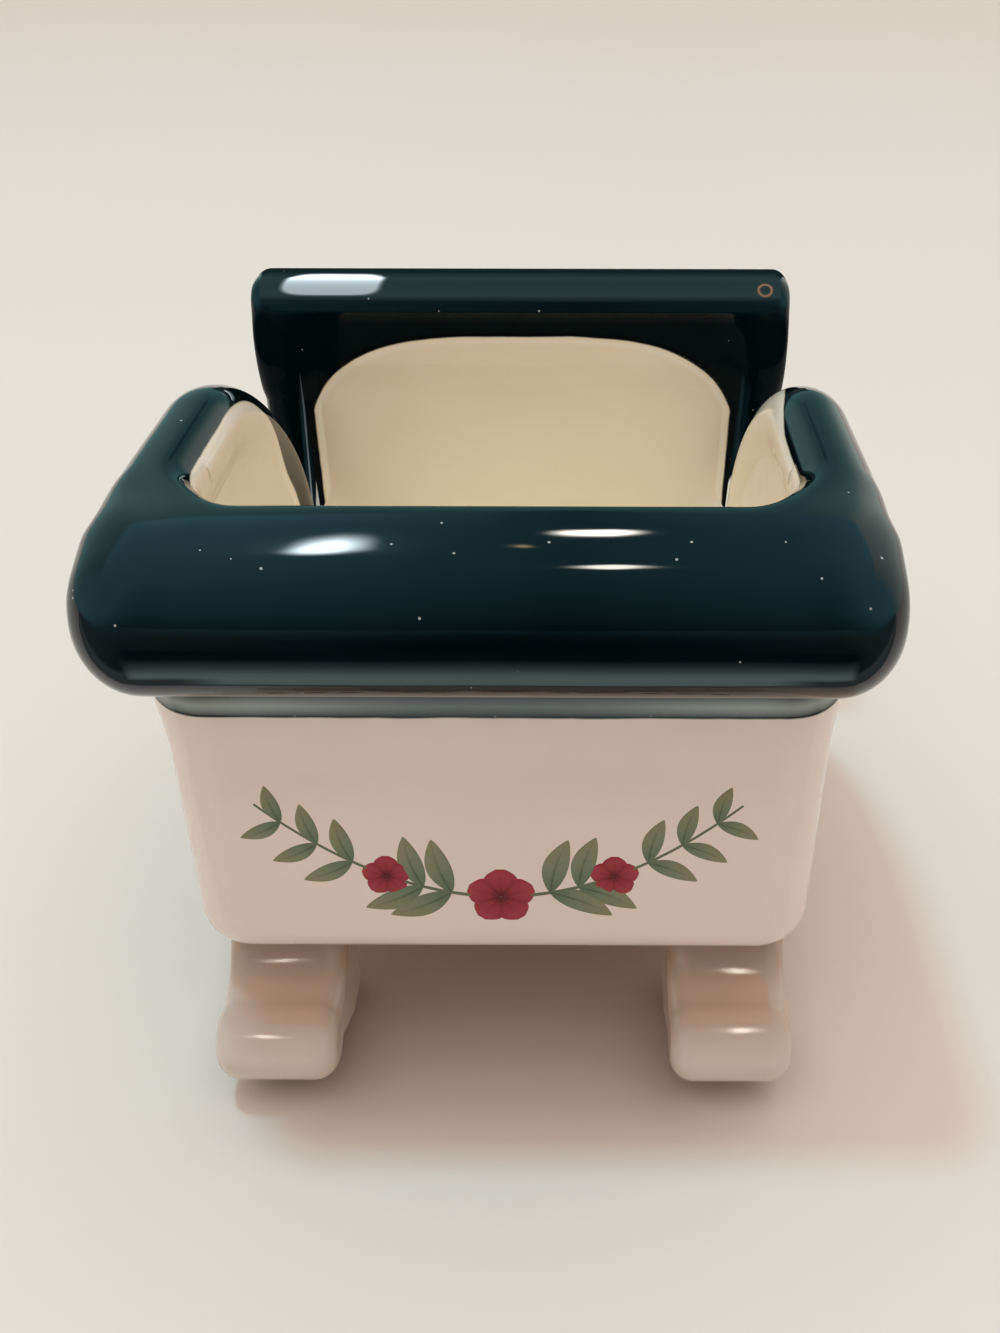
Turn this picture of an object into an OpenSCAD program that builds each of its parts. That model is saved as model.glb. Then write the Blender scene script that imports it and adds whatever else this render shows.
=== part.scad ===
// Sleigh-shaped sugar packet holder in glazed ceramic.
// X runs across the holder, Y along it from the tall armed end to the far end, Z up from the table.
// The origin is on the table, under the middle of the holder.

/* [Tub] */
// Width of the tub over its side walls, at the rim
tub_w = 81; // [74:1:110]
// Length of the tub over its two end walls
tub_l = 94.6; // [86:0.2:140]
// How far each side wall leans in, from the rim to the underside
side_lean = 1.5; // [0:0.1:3]
// Thickness of the walls
wall_t = 5; // [4:0.1:6]
// Thickness of the floor
floor_t = 5; // [4:0.2:8]
// Radius of the tub's upright corners
corner_r = 7; // [5:0.5:10]
// Radius of the rounded edge round the tub's underside
base_edge_r = 5; // [3:0.5:7]
// Radius of the upright corners inside the well
well_corner_r = 8; // [5:0.5:12]
// Radius of the fillet round the well's floor
well_fillet_r = 5; // [3:0.5:8]

/* [Rim] */
// Height of the top of the front rim and the arms above the table
rim_h = 82.6; // [79:0.2:110]
// How much lower the top of the far wall is
back_drop = 1; // [0:0.1:3]
// Radius of the bead along the arms and down the notches
bead_r = 4.7; // [4:0.05:5.5]
// How far the bead stands into the well past the wall
bead_overhang = 1; // [0.5:0.1:1.5]
// Radius of the roll at each end
roll_r = 9.2; // [8:0.1:11]
// How far below the rim's top the rolls' axes lie
roll_drop = 10.2; // [9:0.1:12]
// How far each roll's axis stands outside its end wall
roll_out = 2.3; // [1:0.1:4]
// Rounding of the front roll's two ends
front_roll_edge_r = 6.5; // [3:0.5:7]
// Rounding of the back roll's two ends
back_roll_edge_r = 2.5; // [1.5:0.5:5]

/* [Arms and notches] */
// Height of the lowest point of the bead's centre line in a notch
notch_h = 37.3; // [34:0.1:50]
// Radius of the round bottom of each notch
notch_r = 9.5; // [8:0.5:12]
// Length of the sweep in which an arm falls from the rim to its notch
arm_sweep_l = 39.5; // [30:0.5:50]

/* [Feet] */
// Height of the tub's underside above the table
foot_h = 20.2; // [17:0.2:30]
// Width of a foot
foot_w = 15.6; // [13:0.2:20]
// How far the outer side of each foot stands in from the tub's side
foot_inset = 3.4; // [2:0.2:8]
// Radius of the curled toe
toe_r = 5.2; // [4:0.1:6]
// Height of the toe's axis above the table
toe_h = 8.5; // [7:0.1:10]
// How far the toe's axis stands outside the tub's end wall
toe_out = 2; // [0:0.1:4]
// Length of the flat sole on the table
sole_l = 10; // [8:0.5:18]
// Radius of the hollow in the front of a foot
instep_r = 4; // [3:0.5:6]
// Radius of a foot's upright edges
foot_edge_r = 4; // [2:0.5:5]

/* [Print] */
// Thickness of the fired-on colour
print_t = 0.3; // [0.2:0.05:0.5]
// Height of the garland's lowest point above the table
print_h = 31; // [29:0.5:36]
// Bare width between the tips of the end walls' garlands and the tub's sides
print_clear = 11.5; // [10.5:0.5:16]
// Reach of the garland on the side walls
side_print_reach = 24; // [18:0.5:25]
// How far the side garlands sit towards the armed end
side_print_shift = 11; // [8:0.5:12]
// Rise of the garland from its middle to its two tips
print_rise = 14; // [6:0.5:16]
// Length of the longest leaflet
leaflet_l = 8.5; // [5:0.5:9]
// Width of the stem line
stem_w = 0.7; // [0.5:0.1:1]
// Radius of the middle blossom
blossom_r = 4.6; // [3:0.1:5]

/* [Hidden] */

green = [0.07, 0.20, 0.19];
ivory = [0.86, 0.82, 0.73];
olive = [0.42, 0.45, 0.31];
berry = [0.60, 0.12, 0.15];

// Overrun of every cut past the solid that it cuts
cut = 2;
// Thin slice that a hull starts from
slice = 0.1;
// Gap left round a blossom where a leaflet would run under it
print_gap = 0.4;

// Rows of points in the round stretches
arc_steps = 10;
sweep_steps = 18;
ring_sides = 20;
corner_steps = 8;

front_y = -tub_l / 2;
back_y = tub_l / 2;
well_w = tub_w - 2 * wall_t;
well_l = tub_l - 2 * wall_t;
well_floor = foot_h + floor_t;

// Centre line of the bead
bead_z = rim_h - bead_r;
bead_x = well_w / 2 - bead_overhang + bead_r;
bead_y = well_l / 2 - bead_overhang + bead_r;

// Axis and reach of the rolls
roll_z = rim_h - roll_drop;
roll_y = tub_l / 2 + roll_out;
roll_half = bead_x + bead_r;

// Where the front roll ends and the arms start
arm_start_y = -bead_y + well_corner_r + bead_overhang;

// Notch: a half circle that ends on the centre line of the post's bead
notch_y = bead_y - notch_r;
notch_z = notch_h + notch_r;
arm_end_y = notch_y - notch_r;
sweep_y0 = arm_end_y - arm_sweep_l;
// Fullness of the arm's falling sweep, where 2 is a plain ellipse
sweep_power_share = 1.6;

// Distance from the holder's middle to the middle of a foot
foot_x = tub_w / 2 - foot_inset - foot_w / 2;

// Turn from straight ahead to where the toe's roll runs into the instep
toe_turn = 120;

// Reach of a foot inwards from the end wall
foot_l = base_edge_r + sole_l + toe_r - toe_out;

function lean_at(z) = side_lean * (rim_h - z) / (rim_h - foot_h);

// Centre line of an arm, seen from the side: level, then a falling sweep, the notch and the post
function sweep_z(y) =
    let (u = (y - sweep_y0) / arm_sweep_l)
    notch_z + (bead_z - notch_z) * pow(max(0, 1 - pow(u, sweep_power_share)), 1 / sweep_power_share);
arm_line = concat(
    [[arm_start_y, bead_z]],
    [for (i = [0 : sweep_steps]) let (y = sweep_y0 + arm_sweep_l * sin(90 * i / sweep_steps)) [y, sweep_z(y)]],
    [for (i = [1 : arc_steps]) let (a = 180 + 180 * i / arc_steps)
        [notch_y + notch_r * cos(a), notch_z + notch_r * sin(a)]],
    [[bead_y, roll_z]]);

// Unit direction of the line at its point i
function step(line, i) =
    let (d = line[min(i + 1, len(line) - 1)] - line[max(i - 1, 0)]) d / norm(d);

// Tube of the bead's radius along the arm's line, with its sides following the lean of the wall
module bead_tube(side) {
    n = len(arm_line);
    points = [for (i = [0 : n - 1]) let (p = arm_line[i], d = step(arm_line, i))
        for (j = [0 : ring_sides - 1]) let (a = 360 * j / ring_sides, up = bead_r * sin(a))
            let (z = p[1] + up * d[0])
            [side * (bead_x - lean_at(z) + bead_r * cos(a)), p[0] - up * d[1], z]];
    last = (n - 1) * ring_sides;
    walls = [for (i = [0 : n - 2]) for (j = [0 : ring_sides - 1])
        let (a = i * ring_sides + j, b = i * ring_sides + (j + 1) % ring_sides)
        each [[a, b, b + ring_sides], [a, b + ring_sides, a + ring_sides]]];
    ends = [[for (j = [ring_sides - 1 : -1 : 0]) j], [for (j = [0 : ring_sides - 1]) last + j]];
    faces = concat(walls, ends);
    polyhedron(points, side > 0 ? faces : [for (f = faces) [for (k = [len(f) - 1 : -1 : 0]) f[k]]]);
}

// One ring of a rounded rectangle at height z, drawn in by inset
function ring_points(w, l, r, z, inset) =
    let (hw = w / 2 - lean_at(z) - inset, hl = l / 2 - inset, rr = r - min(inset, r / 2))
    [for (q = [0 : 3]) for (i = [0 : corner_steps])
        let (a = 90 * q + 90 * i / corner_steps,
            sx = (q == 0 || q == 3) ? 1 : -1, sy = q < 2 ? 1 : -1)
        [sx * (hw - rr) + rr * cos(a), sy * (hl - rr) + rr * sin(a), z]];

// Upright block with rounded corners and a rounded lower edge, from bottom to top
module rounded_block(w, l, r, edge, bottom, top) {
    edge_steps = arc_steps / 2;
    all_rings = concat(
        [for (i = [0 : edge_steps]) let (a = 90 * i / edge_steps)
            ring_points(w, l, r, bottom + edge * (1 - cos(a)), edge * (1 - sin(a)))],
        [ring_points(w, l, r, top, 0)]);
    m = len(all_rings[0]);
    n = len(all_rings);
    points = [for (ring = all_rings) each ring];
    walls = [for (i = [0 : n - 2]) for (j = [0 : m - 1])
        let (a = i * m + j, b = i * m + (j + 1) % m)
        each [[a, b + m, b], [a, a + m, b + m]]];
    polyhedron(points, concat(walls, [[for (j = [0 : m - 1]) j], [for (j = [m - 1 : -1 : 0]) (n - 1) * m + j]]));
}

// Everything above the wall's top line: over the rim in front, the two notches, over the rim behind
module above_walls() {
    post_y = well_l / 2;
    line = [for (p = arm_line) if (p[0] < post_y && p[1] <= bead_z) p];
    far = [[post_y, notch_z - sqrt(notch_r * notch_r - pow(post_y - notch_y, 2))],
        [post_y, bead_z - back_drop], [back_y + cut, bead_z - back_drop], [back_y + cut, rim_h + cut],
        [front_y - cut, rim_h + cut], [front_y - cut, bead_z]];
    rotate([90, 0, 90]) translate([0, 0, -tub_w])
        linear_extrude(2 * tub_w) polygon(concat(line, far));
}

module well(inset, top) {
    rounded_block(well_w - 2 * inset, well_l - 2 * inset, well_corner_r, well_fillet_r, well_floor, top);
}

module tub_solid() {
    difference() {
        rounded_block(tub_w, tub_l, corner_r, base_edge_r, foot_h, rim_h);
        well(0, rim_h + cut);
        above_walls();
    }
}

// Cylinder along X with rounded ends
module roll_bar(half, r, edge) {
    rotate([0, 90, 0]) rotate_extrude($fn = 32)
        intersection() {
            translate([0, -half]) square([r, 2 * half]);
            offset(edge, $fn = 24) square([2 * (r - edge), 2 * (half - edge)], center = true);
        }
}

// Roll of one end, with the bead over its wall
module roll_body(side, edge, drop) {
    hull() {
        translate([0, side * roll_y, roll_z]) roll_bar(roll_half, roll_r, edge);
        for (x = [-1, 1])
            translate([x * (bead_x - corner_r), side * bead_y, bead_z - drop]) sphere(bead_r, $fn = 24);
    }
}

// Corner where the front roll turns into an arm
module roll_corner(side) {
    hull() {
        translate([side * (roll_half - roll_r), -roll_y, roll_z])
            intersection() {
                roll_bar(roll_r, roll_r, front_roll_edge_r);
                translate([side > 0 ? 0 : -2 * roll_r, -roll_r, -roll_r]) cube(2 * roll_r);
            }
        translate([side * bead_x, arm_start_y, bead_z])
            rotate([90, 0, 0]) cylinder(r = bead_r, h = slice, $fn = ring_sides);
    }
}

module front_roll_solid() {
    difference() {
        union() {
            roll_body(-1, front_roll_edge_r, 0);
            roll_corner(-1);
            roll_corner(1);
        }
        tub_solid();
        well(bead_overhang, rim_h + cut);
    }
}

module back_roll_solid() {
    difference() {
        roll_body(1, back_roll_edge_r, back_drop);
        tub_solid();
        well(bead_overhang, rim_h + cut);
    }
}

module arm_rim(side) {
    color(green) difference() {
        bead_tube(side);
        tub_solid();
        front_roll_solid();
        roll_body(1, back_roll_edge_r, back_drop);
    }
}

module tub() { color(ivory) tub_solid(); }
module front_roll() { color(green) front_roll_solid(); }
module back_roll() { color(green) back_roll_solid(); }

// Side outline of a foot: Y forwards from the tub's end wall, Z up
module foot_outline() {
    instep = [toe_out, toe_h] + (toe_r + instep_r) * [cos(toe_turn), sin(toe_turn)];
    polygon(concat(
        [[-foot_l, foot_h + base_edge_r], [-foot_l, 0], [sole_l - foot_l, 0]],
        [for (i = [0 : arc_steps]) let (a = -toe_turn + 2 * toe_turn * i / arc_steps)
            [toe_out + toe_r * cos(a), toe_h + toe_r * sin(a)]],
        [for (i = [1 : arc_steps]) let (a = toe_turn - 180 + (-toe_turn) * i / arc_steps)
            instep + instep_r * [cos(a), sin(a)]],
        [[instep[0] - instep_r, foot_h + base_edge_r]]));
}

// Rectangle with round corners, from its lowest corner
module rounded_rect(size, r) {
    translate([r, 0]) square([size[0] - 2 * r, size[1]]);
    translate([0, r]) square([size[0], size[1] - 2 * r]);
    for (x = [r, size[0] - r]) for (y = [r, size[1] - r]) translate([x, y]) circle(r, $fn = 32);
}

module foot(x, side) {
    color(ivory) difference() {
        translate([x, side * tub_l / 2, 0]) mirror([0, side > 0 ? 0 : 1, 0]) intersection() {
            rotate([90, 0, 90]) translate([0, 0, -foot_w]) linear_extrude(2 * foot_w) foot_outline();
            translate([-foot_w / 2, -foot_l]) linear_extrude(2 * foot_h)
                rounded_rect([foot_w, foot_l + toe_out + toe_r], foot_edge_r);
        }
        rounded_block(tub_w, tub_l, corner_r, base_edge_r, foot_h, rim_h);
    }
}

module front_left_foot() { foot(-foot_x, -1); }
module front_right_foot() { foot(foot_x, -1); }
module rear_left_foot() { foot(-foot_x, 1); }
module rear_right_foot() { foot(foot_x, 1); }

// Places along the garland and the sizes there, as shares of its reach and of the largest size
leaflet_share = [0.21, 0.33, 0.62, 0.76, 0.90];
blossom_share = 0.48;
side_blossom_share = 0.72;

// Reach of the end walls' garlands to each side of the middle
print_reach = tub_w / 2 - print_clear;

function garland_z(u) = print_rise * u * u;

// Pointed oval leaf from the origin along X
module leaflet(l) {
    w_share = 0.4;
    r = l * (1 + w_share * w_share) / (4 * w_share);
    intersection() {
        translate([l / 2, r - l * w_share / 2]) circle(r, $fn = 48);
        translate([l / 2, l * w_share / 2 - r]) circle(r, $fn = 48);
    }
}

// Five round petals about a centre
module blossom(r) {
    petal_share = 0.45;
    for (k = [0 : 4]) rotate(72 * k + 90) translate([r * (1 - petal_share), 0]) circle(r * petal_share, $fn = 32);
    circle(r * petal_share, $fn = 32);
}

module blossoms(reach, grow) {
    blossom(blossom_r + grow);
    for (s = [-1, 1]) translate([s * reach * blossom_share, garland_z(blossom_share)])
        blossom(blossom_r * side_blossom_share + grow);
}

module garland(reach) {
    difference() {
        union() {
            polygon(concat(
                [for (k = [-arc_steps : arc_steps]) let (u = k / arc_steps)
                    [reach * u, garland_z(u) - stem_w / 2]],
                [for (k = [arc_steps : -1 : -arc_steps]) let (u = k / arc_steps)
                    [reach * u, garland_z(u) + stem_w / 2]]));
            for (s = [-1, 1]) for (u = leaflet_share) for (turn = [-1, 1])
                translate([s * reach * u, garland_z(u)])
                    rotate(s > 0 ? 25 + 50 * turn : 155 - 50 * turn) leaflet(leaflet_l * (1.1 - u / 2));
        }
        blossoms(reach, print_gap);
    }
}

// Lays a flat pattern on an end wall or a side wall
module on_end(side) {
    translate([0, side * tub_l / 2, print_h]) rotate([90, 0, side > 0 ? 180 : 0])
        linear_extrude(print_t) children();
}
module on_side(side) {
    translate([side * (tub_w / 2 - lean_at(print_h)), -side_print_shift, print_h])
        rotate([90, 0, side * 90]) rotate([atan2(side_lean, rim_h - foot_h), 0, 0])
            linear_extrude(print_t) children();
}

module front_leaf_print() { color(olive) on_end(-1) garland(print_reach); }
module front_blossom_print() { color(berry) on_end(-1) blossoms(print_reach, 0); }
module back_leaf_print() { color(olive) on_end(1) garland(print_reach); }
module back_blossom_print() { color(berry) on_end(1) blossoms(print_reach, 0); }
module left_leaf_print() { color(olive) on_side(-1) garland(side_print_reach); }
module left_blossom_print() { color(berry) on_side(-1) blossoms(side_print_reach, 0); }
module right_leaf_print() { color(olive) on_side(1) garland(side_print_reach); }
module right_blossom_print() { color(berry) on_side(1) blossoms(side_print_reach, 0); }

tub();
front_roll();
back_roll();
arm_rim(-1);  // left_arm_rim
arm_rim(1);  // right_arm_rim
front_left_foot();
front_right_foot();
rear_left_foot();
rear_right_foot();
front_leaf_print();
front_blossom_print();
back_leaf_print();
back_blossom_print();
left_leaf_print();
left_blossom_print();
right_leaf_print();
right_blossom_print();
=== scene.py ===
"""Looks of the sugar packet holder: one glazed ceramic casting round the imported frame.

The shapes are worked out in millimetres, in the frame's axes, and go into the meshes in metres.
"""
import math

import bpy
import numpy as np
from mathutils import Matrix


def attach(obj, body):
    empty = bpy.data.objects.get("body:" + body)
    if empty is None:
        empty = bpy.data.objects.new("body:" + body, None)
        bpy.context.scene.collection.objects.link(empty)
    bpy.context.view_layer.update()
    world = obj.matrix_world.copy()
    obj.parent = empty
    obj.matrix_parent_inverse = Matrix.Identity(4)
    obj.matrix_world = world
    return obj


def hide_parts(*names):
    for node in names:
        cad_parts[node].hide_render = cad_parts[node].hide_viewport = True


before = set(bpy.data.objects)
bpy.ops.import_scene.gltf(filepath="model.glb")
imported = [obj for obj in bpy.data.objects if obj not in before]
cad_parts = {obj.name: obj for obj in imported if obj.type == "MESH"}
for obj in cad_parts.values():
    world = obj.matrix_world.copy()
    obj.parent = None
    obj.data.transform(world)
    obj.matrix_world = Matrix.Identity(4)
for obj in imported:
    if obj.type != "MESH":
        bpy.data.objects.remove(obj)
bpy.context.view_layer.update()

MM = 0.001

# Tub: outside, well, underside and the lean of the side walls
RIM_H = 82.6
TUB_X = 40.5
TUB_Y = 47.3
WALL = 5.0
WELL_X = TUB_X - WALL
WELL_Y = TUB_Y - WALL
WELL_R = 8.0
WELL_FILLET = 5.0
CORNER_R = 7.0
BASE_Z = 20.2
BASE_EDGE_R = 5.0
WELL_FLOOR_Z = 25.2
LEAN = 1.5

# Beads over the walls, and the inner line that they overhang
BEAD_R = 4.7
BEAD_X = 39.2
BEAD_Y = 46.0
BEAD_Z = 77.9
BEAD_TURN_R = 15.5
BACK_DROP = 1.0
OVERHANG_X = 34.5
OVERHANG_Y = 41.3
OVERHANG_R = 10.8

# Rolls at both ends
ROLL_R = 9.2
ROLL_Y = 49.6
ROLL_Z = 72.4
ROLL_HALF = 43.9
FRONT_ROLL_EDGE = 6.5
BACK_ROLL_EDGE = 2.5
SWELL_R = 34.0

# Arms: level start, sweep and notch
ARM_START_Y = -27.0
SWEEP_Y0 = -12.5
SWEEP_L = 39.5
SWEEP_POWER = 1.6
NOTCH_R = 9.5
NOTCH_Y = 36.5
NOTCH_Z = 46.8

# Roots of the rims: skin over the wall, fillet to it, and the heights between which a root dives in
SKIN = 0.05
FILLET = 2.2
DIVE = 0.35
ROOT_TOP = 76.0
ARM_ROOT = (75.4, 70.3)
END_ROOT = (66.0, 61.5)

# Rods that fill the corner between an arm's bead and the roll: ends with their radii
CORNER_RODS = (
    ((39.2, -36.0, 77.9), 4.7, (38.9, -45.0, 76.5), 5.1),
    ((38.9, -45.0, 76.5), 5.1, (37.6, -50.0, 73.7), 6.3),
    ((38.8, -38.0, 77.2), 4.4, (36.6, -49.8, 73.0), 7.4),
)
# Rods of the post's top, under the back roll
POST_RODS = (
    ((BEAD_X, BEAD_Y, 57.0), 4.2, (BEAD_X, BEAD_Y, 63.0), 4.78),
    ((BEAD_X, BEAD_Y, 63.0), 4.78, (BEAD_X, BEAD_Y + 2, 71.0), 4.6),
)

# Feet
FOOT_X = 29.3
FOOT_HALF_W = 7.8
TOE_R = 5.2
TOE_Z = 8.5
TOE_OUT = 2.0

# Glaze lines: the cream arch on the far wall, how far green hangs, and a distance that is all green
ARCH_HALF, ARCH_Z, ARCH_RISE = 37.0, 40.0, 33.2
ARCH_POWER_X, ARCH_POWER_Z = 3.5, 3.4
ROLL_HANG = 5.55
ARM_HANG = 1.6
ALL_GREEN = 8.0

# How much the glaze's gloss is calmed inside, where neighbouring walls would mirror too plainly
CALM_GREEN = 0.9
CALM_CREAM = 0.85

# Rays per station round a roll and an arm, and where points begin to be eased into the frame's box
ROLL_RAYS = 132
ARM_RAYS = 100
EASE_FROM = (43.4, 58.3, 82.1)
EASE_ROOM = 0.5


def smooth(t):
    """Smooth step: 3 t^2 - 2 t^3 between 0 and 1."""
    t = np.clip(t, 0, 1)
    return t * t * (3 - 2 * t)


def soft_min(a, b, k):
    """The smaller of two distances, with a fillet of size k where they are alike."""
    h = np.clip(k - np.abs(a - b), 0, None) / k
    return np.minimum(a, b) - h * h * k / 4


def soft_max(a, b, k):
    """The larger of two distances, with a rounding of size k where they are alike."""
    return -soft_min(-a, -b, k)


def shared(*forms):
    """Distance to what several forms have in common: the largest of their distances."""
    return np.maximum.reduce(np.broadcast_arrays(*forms))


def lean_at(z):
    """How far a side wall stands in at height z: nothing at the rim, LEAN at the underside."""
    return LEAN * (RIM_H - z) / (RIM_H - BASE_Z)


def box_distance(qx, qy):
    """Distance to a rectangle from how far a point lies past its sides: above 0 outside."""
    return np.hypot(np.maximum(qx, 0), np.maximum(qy, 0)) + np.minimum(np.maximum(qx, qy), 0)


def round_rect(x, y, half_x, half_y, r):
    """Distance in plan to a rectangle with round corners: outside it is above 0, inside below."""
    return box_distance(np.abs(x) - (half_x - r), np.abs(y) - (half_y - r)) - r


def grid_faces(rows, cols, wrap_cols=False, first=0):
    """Four-sided faces of a grid of points, row by row, its columns closed round where asked."""
    i = np.arange(rows - 1)[:, None]
    j = np.arange(cols if wrap_cols else cols - 1)[None, :]
    j2 = (j + 1) % cols
    quads = np.stack([i * cols + j, (i + 1) * cols + j, (i + 1) * cols + j2, i * cols + j2], axis=-1)
    return (quads + first).reshape(-1, 4)


def grid_normals(points):
    """Normals of a grid that is closed along its second axis: cross product of its two slopes."""
    along = np.gradient(points, axis=0)
    around = np.roll(points, -1, axis=1) - np.roll(points, 1, axis=1)
    n = np.cross(around, along)
    return n / np.maximum(np.linalg.norm(n, axis=2, keepdims=True), 1e-9)


def add_object(name, data, axes=None, position=None):
    """An object in the scene, at the origin unless it is given three axes and a position in metres."""
    thing = bpy.data.objects.new(name, data)
    if axes is not None:
        m = np.eye(4)
        m[:3, :3] = np.transpose(axes)
        m[:3, 3] = position
        thing.matrix_world = Matrix(m.tolist())
    bpy.context.scene.collection.objects.link(thing)
    return thing


def make_mesh(name, verts, faces, material, layers, flat=0, normals=None):
    """A smooth mesh object at the origin from points in millimetres, with a value per point in layers.

    The last faces, as many as flat says, stay flat. Corners may be given normals of their own.
    """
    mesh = bpy.data.meshes.new(name)
    mesh.from_pydata((np.array(verts, dtype=float) * MM).tolist(), [], faces)
    for key, values in layers.items():
        attribute = mesh.attributes.new(key, "FLOAT", "POINT")
        attribute.data.foreach_set("value", np.asarray(values, dtype=np.float32).ravel())
    mesh.materials.append(material)
    mesh.polygons.foreach_set("use_smooth", [True] * (len(faces) - flat) + [False] * flat)
    mesh.update()
    if normals is not None:
        mesh.normals_split_custom_set(normals.tolist())
    return add_object(name, mesh)


def round_cone(u, v, big, r_big, small, r_small):
    """Distance in a plane to the hull of two circles, from their centres and radii."""
    d = np.array(small) - np.array(big)
    length = math.hypot(*d)
    d = d / length
    pu, pv = u - big[0], v - big[1]
    along = pu * d[0] + pv * d[1]
    side = np.abs(pv * d[0] - pu * d[1])
    slope = (r_big - r_small) / length
    level = math.sqrt(1 - slope * slope)
    k = along * level - side * slope
    mid = side * level + along * slope - r_big
    low = np.hypot(side, along) - r_big
    high = np.hypot(side, along - length) - r_small
    return np.where(k < 0, low, np.where(k > level * length, high, mid))


def full_section(u, v, small):
    """Rim section: the hull of roll and bead, its upper face swelled to an arc of SWELL_R."""
    big = (ROLL_Y, ROLL_Z)
    hull = round_cone(u, v, big, ROLL_R, small, BEAD_R)
    du, dv = small[0] - big[0], small[1] - big[1]
    gap = math.hypot(du, dv)
    to_big, to_small = SWELL_R - ROLL_R, SWELL_R - BEAD_R
    along = (to_big ** 2 - to_small ** 2 + gap ** 2) / (2 * gap)
    aside = math.sqrt(to_big ** 2 - along ** 2)
    cu = big[0] + (du * along - dv * aside) / gap
    cv = big[1] + (dv * along + du * aside) / gap
    angle = np.arctan2(v - cv, u - cu)
    a_big = math.atan2(big[1] - cv, big[0] - cu)
    a_small = math.atan2(small[1] - cv, small[0] - cu)
    between = (angle > min(a_big, a_small)) & (angle < max(a_big, a_small))
    arc = np.hypot(u - cu, v - cv) - SWELL_R
    across = (du * (v - big[1]) - dv * (u - big[0])) * (du * (cv - big[1]) - dv * (cu - big[0]))
    return np.where(between & (across < 0), np.minimum(hull, arc), hull)


def bar(x, section, half, edge):
    """A section carried along X to both sides, with its two ends rounded by edge."""
    return box_distance(np.abs(x) - (half - edge), section + edge) - edge


def rods_distance(p, rods):
    """Distance in space to rods, each from a to b with its radius going from r_a to r_b."""
    near = []
    for a, r_a, b, r_b in rods:
        a, d = np.array(a), np.array(b) - np.array(a)
        t = np.clip(((p - a) @ d) / (d @ d), 0, 1)
        near.append(np.linalg.norm(p - (a + t[..., None] * d), axis=-1) - (r_a + (r_b - r_a) * t))
    return np.minimum.reduce(near)


def front_form(p):
    """Front roll, bead over the front wall, corners and the start of the arms, as one fused form."""
    x, y, z = np.moveaxis(p, -1, 0)
    ax = np.abs(x) + lean_at(z)
    roll = bar(ax, full_section(-y, z, (BEAD_Y, BEAD_Z)), ROLL_HALF, FRONT_ROLL_EDGE)
    # The bead is slimmer behind the roll's middle, where the roll covers it
    ring_r = BEAD_R - 3.0 * (1 - smooth((ax - 25.0) / 8.0))
    ring = np.hypot(round_rect(ax, y, BEAD_X, BEAD_Y, BEAD_TURN_R), z - BEAD_Z) - ring_r
    rods = np.minimum(ring, rods_distance(np.stack([ax, y, z], axis=-1), CORNER_RODS))
    # Arm and roll are filleted more and more from the arm's start to the front wall
    joined = smooth((-y - 29) / 9)
    fused = soft_min(roll, rods, 0.1 + 2.3 * joined)
    # The root of the rim: shallow along an arm, deep and diving further in under the roll
    at_end = smooth((-y - 28) / 16)
    z_from, z_to = (arm + (end - arm) * at_end for arm, end in zip(ARM_ROOT, END_ROOT))
    share = np.clip((z_from - z) / (z_from - z_to), 0, 1)
    wall = shared(round_rect(ax, y, TUB_X, TUB_Y, CORNER_R), -round_rect(ax, y, WELL_X, WELL_Y, WELL_R))
    root = shared(wall - SKIN + (DIVE + 0.55 * at_end) * share, z_to - z, z - ROOT_TOP)
    fused = soft_min(fused, root, FILLET)
    # Nothing reaches in past the mouth's line, which is a little wider below the bead
    under = smooth((76.5 - z) / 7.0)
    out = 1.4 * under
    over = round_rect(ax, y, OVERHANG_X + out, OVERHANG_Y + out, OVERHANG_R - 2.4 * under)
    return soft_max(fused, -over - 0.4 * (1 - joined), 0.4)


def back_form(p):
    """Back roll with the bead over the far wall and the tops of the posts, as one fused form."""
    x, y, z = np.moveaxis(p, -1, 0)
    ax = np.abs(x) + lean_at(z)
    roll = bar(ax, full_section(y, z, (BEAD_Y, BEAD_Z - BACK_DROP)), ROLL_HALF, BACK_ROLL_EDGE)
    roll = np.maximum(roll, OVERHANG_Y - y)
    # The root of the rim along the far wall, kept off the rounded corners
    share = np.clip((67.0 - z) / 6.0, 0, 1)
    wall = np.abs(y - (TUB_Y - WALL / 2)) - (WALL / 2 + SKIN - DIVE * share)
    root = shared(wall, END_ROOT[1] - z, z - ROOT_TOP, ax - 38.5)
    post = np.maximum(rods_distance(np.stack([ax, y, z], axis=-1), POST_RODS), 56.5 - z)
    return soft_min(soft_min(roll, post, 4.5), root, 2.4)


def arm_line():
    """Side view of an arm's centre line: level, falling sweep, half circle, post. Rows of Y and Z."""
    y0 = np.linspace(ARM_START_Y, SWEEP_Y0, 24, endpoint=False)
    level = np.stack([y0, np.full_like(y0, BEAD_Z)], axis=1)
    u = np.sin(np.linspace(0, math.pi / 2, 400))
    drop = np.clip(1 - u ** SWEEP_POWER, 0, 1) ** (1 / SWEEP_POWER)
    sweep = np.stack([SWEEP_Y0 + SWEEP_L * u, NOTCH_Z + (BEAD_Z - NOTCH_Z) * drop], axis=1)
    a = np.linspace(math.pi, 2 * math.pi, 60)[1:]
    notch = np.stack([NOTCH_Y + NOTCH_R * np.cos(a), NOTCH_Z + NOTCH_R * np.sin(a)], axis=1)
    z1 = np.linspace(NOTCH_Z, ROLL_Z - 1.0, 40)[1:]
    post = np.stack([np.full_like(z1, BEAD_Y), z1], axis=1)
    return np.concatenate([level, sweep, notch, post])


ARM = arm_line()


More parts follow.
